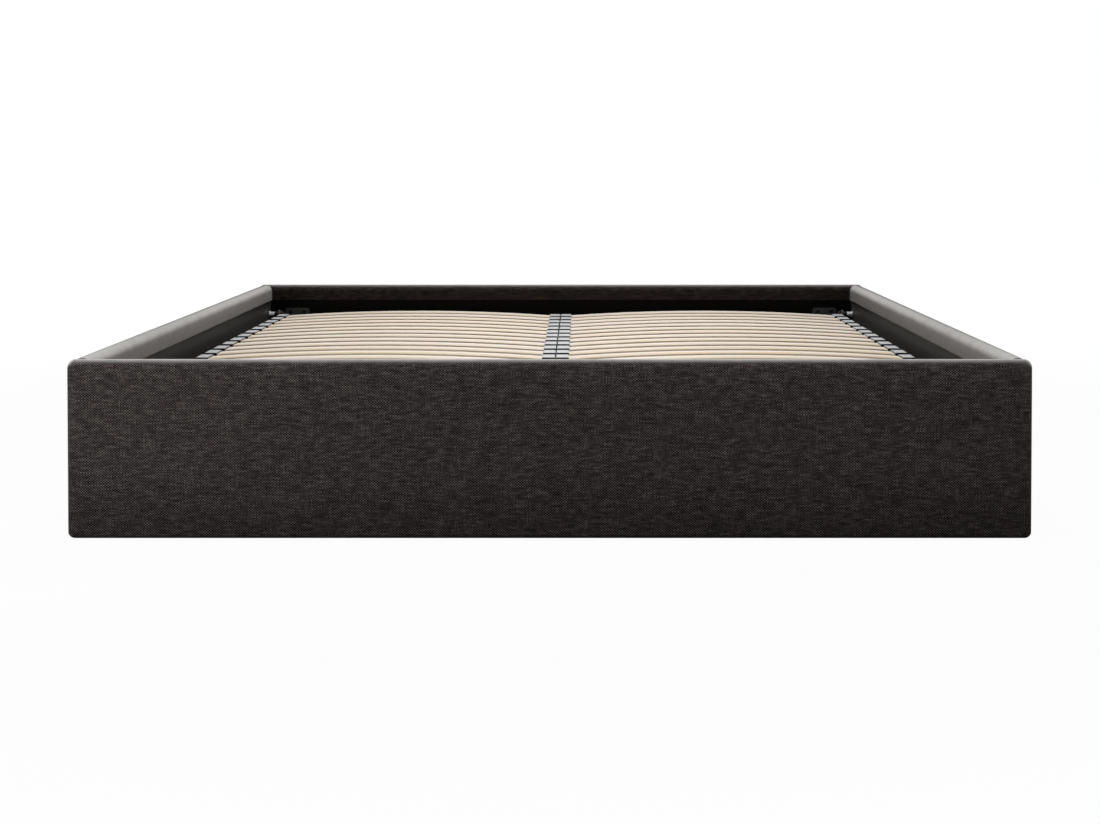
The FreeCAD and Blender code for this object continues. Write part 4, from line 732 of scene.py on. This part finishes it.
dress(black_coat, "black_steel", "left_lift_arm", "right_lift_arm", "left_lift_plate", "right_lift_plate")
dress(pivot_steel(), "zinc", "left_pivot_pin", "right_pivot_pin")
dress(black_zinc, "zinc", "pivot_lock_nuts")
dress(zinc, "zinc", "strut_base_studs", "strut_platform_studs")
lift_spots = [
    (side * LIFT_PLATE_FACE, STRUT_BASE_Y + share * PIVOT_BEHIND, STRUT_BASE_Z + share * PIVOT_ABOVE)
    for side in (-1, 1) for share in LIFT_SCREW_SHARES
]
lift_axes = [(-side, 0, 0) for side in (-1, 1) for _ in LIFT_SCREW_SHARES]
lift_screws = spun("lift_plate_pan_screws", SCREW_OUTLINE, lift_spots, lift_axes, 24)
lift_screws.data.materials.append(zinc)
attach(lift_screws, "box")
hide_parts("lift_plate_screws")

# Gas struts: a black painted pressure tube with a rubber seal, a ground and polished rod, and a zinc-plated
# eye screwed on the rod.


def strut_finish(name, colour, light, roughness, metallic):
    """Smooth strut metal: a plain colour that shifts a little, with fine lines of turning in its gloss."""
    material, tree, shader = finish(name, roughness, Metallic=metallic)
    lines = noise(tree, object_place(tree, (1, 1, 6)), 260.0, 3.0)
    tree.links.new(colours(tree, lines, (0.3, colour), (0.7, light)), shader.inputs["Base Color"])
    tree.links.new(between(tree, lines, roughness - 0.05, roughness + 0.08), shader.inputs["Roughness"])
    return material


strut_enamel = strut_finish("strut_enamel", (12, 12, 13), (19, 19, 20), 0.24, 0.0)
polished_rod = strut_finish("polished_rod", (196, 198, 200), (222, 223, 224), 0.14, 1.0)
dress(strut_enamel, "strut_paint", "left_strut_cylinder", "right_strut_cylinder")
dress(rubber, "rubber", "left_strut_seal", "right_strut_seal")
dress(polished_rod, "strut_rod", "left_strut_rod", "right_strut_rod")
dress(zinc, "zinc", "left_strut_rod_eye", "right_strut_rod_eye")

# Studio floor: a plain pale sheet. It takes the bed's shadow, and shows white to the camera and in
# reflections.
FLOOR_REACH, FLOOR_GREY, FLOOR_GLOW = 40.0, 0.35, 1.02


def seen_directly(tree):
    """1 for rays from the camera, in a gloss or through glass, and 0 for the light that falls on things."""
    path = shade(tree, "LightPath", {}).outputs
    either = sums(tree, "MAXIMUM", path["Is Camera Ray"], path["Is Glossy Ray"])
    return sums(tree, "MAXIMUM", either, path["Is Transmission Ray"])


floor_corners = FLOOR_REACH * np.array([[[-1, -1, 0], [1, -1, 0]], [[-1, 1, 0], [1, 1, 0]]], float)
floor = surface("studio_floor", floor_corners)
floor_paper, tree, shader = finish("floor_paper", 0.9, Specular_IOR_Level=0.0)
shader.inputs["Base Color"].default_value = (FLOOR_GREY, FLOOR_GREY, FLOOR_GREY, 1)
glow = shade(tree, "Emission", {"Color": (1, 1, 1, 1), "Strength": FLOOR_GLOW}).outputs[0]
away = shade(tree, "VectorMath", {0: object_place(tree, (1, 0.8, 1))}, operation="LENGTH").outputs["Value"]
share = sums(tree, "MULTIPLY", seen_directly(tree), smooth(tree, away, 1.2, 3.5, 0.95, 1.0))
mixed = shade(tree, "MixShader", {0: share, 1: shader.outputs[0], 2: glow}).outputs[0]
tree.links.new(mixed, tree.nodes["Material Output"].inputs["Surface"])
floor.data.materials.append(floor_paper)

# Studio light: a dim even room with a white backdrop, a soft lamp above the head end that shines along the
# bed, and a long one above the foot panel, with a small one at its left. Low strips light the outside of the
# sides and the head.
ROOM_LIGHT = 0.12
world = bpy.data.worlds.new("white_room")
bpy.context.scene.world = world
world.use_nodes = True
tree = world.node_tree
room = shade(tree, "Background", {"Color": (1, 1, 1, 1), "Strength": ROOM_LIGHT}).outputs[0]
white = shade(tree, "Background", {"Color": (1, 1, 1, 1), "Strength": 1.0}).outputs[0]
backdrop = shade(tree, "MixShader", {0: seen_directly(tree), 1: room, 2: white}).outputs[0]
tree.links.new(backdrop, tree.nodes["World Output"].inputs["Surface"])
for name, place, aim, size, spread, power in (
    ("back_lamp", (0.0, 1.3, 2.4), (0, -1.2, 0.25), (0.7, 0.7), 150, 52),
    ("front_lamp", (0.0, -1.6, 1.15), (0.0, -1.04, 0.25), (2.4, 0.4), 80, 4.8),
    ("left_lamp", (-1.2, -1.8, 0.42), (-0.75, -1.04, 0.2), (0.3, 0.3), 100, 1.2),
    ("left_fill", (-3.2, 0.5, 0.14), (-0.84, 0.1, 0.14), (2.8, 0.26), 130, 10),
    ("right_fill", (3.2, 0.5, 0.14), (0.84, 0.1, 0.14), (2.8, 0.26), 130, 10),
    ("rear_fill", (0.0, 3.4, 0.14), (0.0, 1.04, 0.14), (2.4, 0.26), 130, 10),
):
    lamp = bpy.data.lights.new(name, "AREA")
    lamp.shape, lamp.energy, lamp.spread = "RECTANGLE", power, math.radians(spread)
    lamp.size, lamp.size_y = size
    holder = bpy.data.objects.new(name, lamp)
    bpy.context.scene.collection.objects.link(holder)
    holder.location = place
    holder.visible_camera = False
    to_aim = Vector(aim) - Vector(place)
    holder.rotation_euler = to_aim.to_track_quat("-Z", "Y").to_euler()

# Camera: low in front of the foot end, with a long lens, looking slightly down. The bed is in the middle of
# the frame. The focal length and the shifts are in pixels of the photograph.
FRAME_WIDTH, SENSOR_WIDTH, FOCAL_PIXELS, SHIFT_PIXELS = 1100, 36.0, 1953, (-29.85, -200.7)
camera = bpy.data.objects.new("camera", bpy.data.cameras.new("camera"))
bpy.context.scene.collection.objects.link(camera)
camera.location = (0.0525, -4.420, 0.6635)
camera.rotation_euler = (math.radians(88.5), 0, 0)
camera.data.sensor_width = SENSOR_WIDTH
camera.data.lens = SENSOR_WIDTH * FOCAL_PIXELS / FRAME_WIDTH
camera.data.shift_x, camera.data.shift_y = [pixels / FRAME_WIDTH for pixels in SHIFT_PIXELS]
camera.data.clip_end = 200
bpy.context.scene.camera = camera
bpy.context.scene.view_settings.view_transform = "Standard"
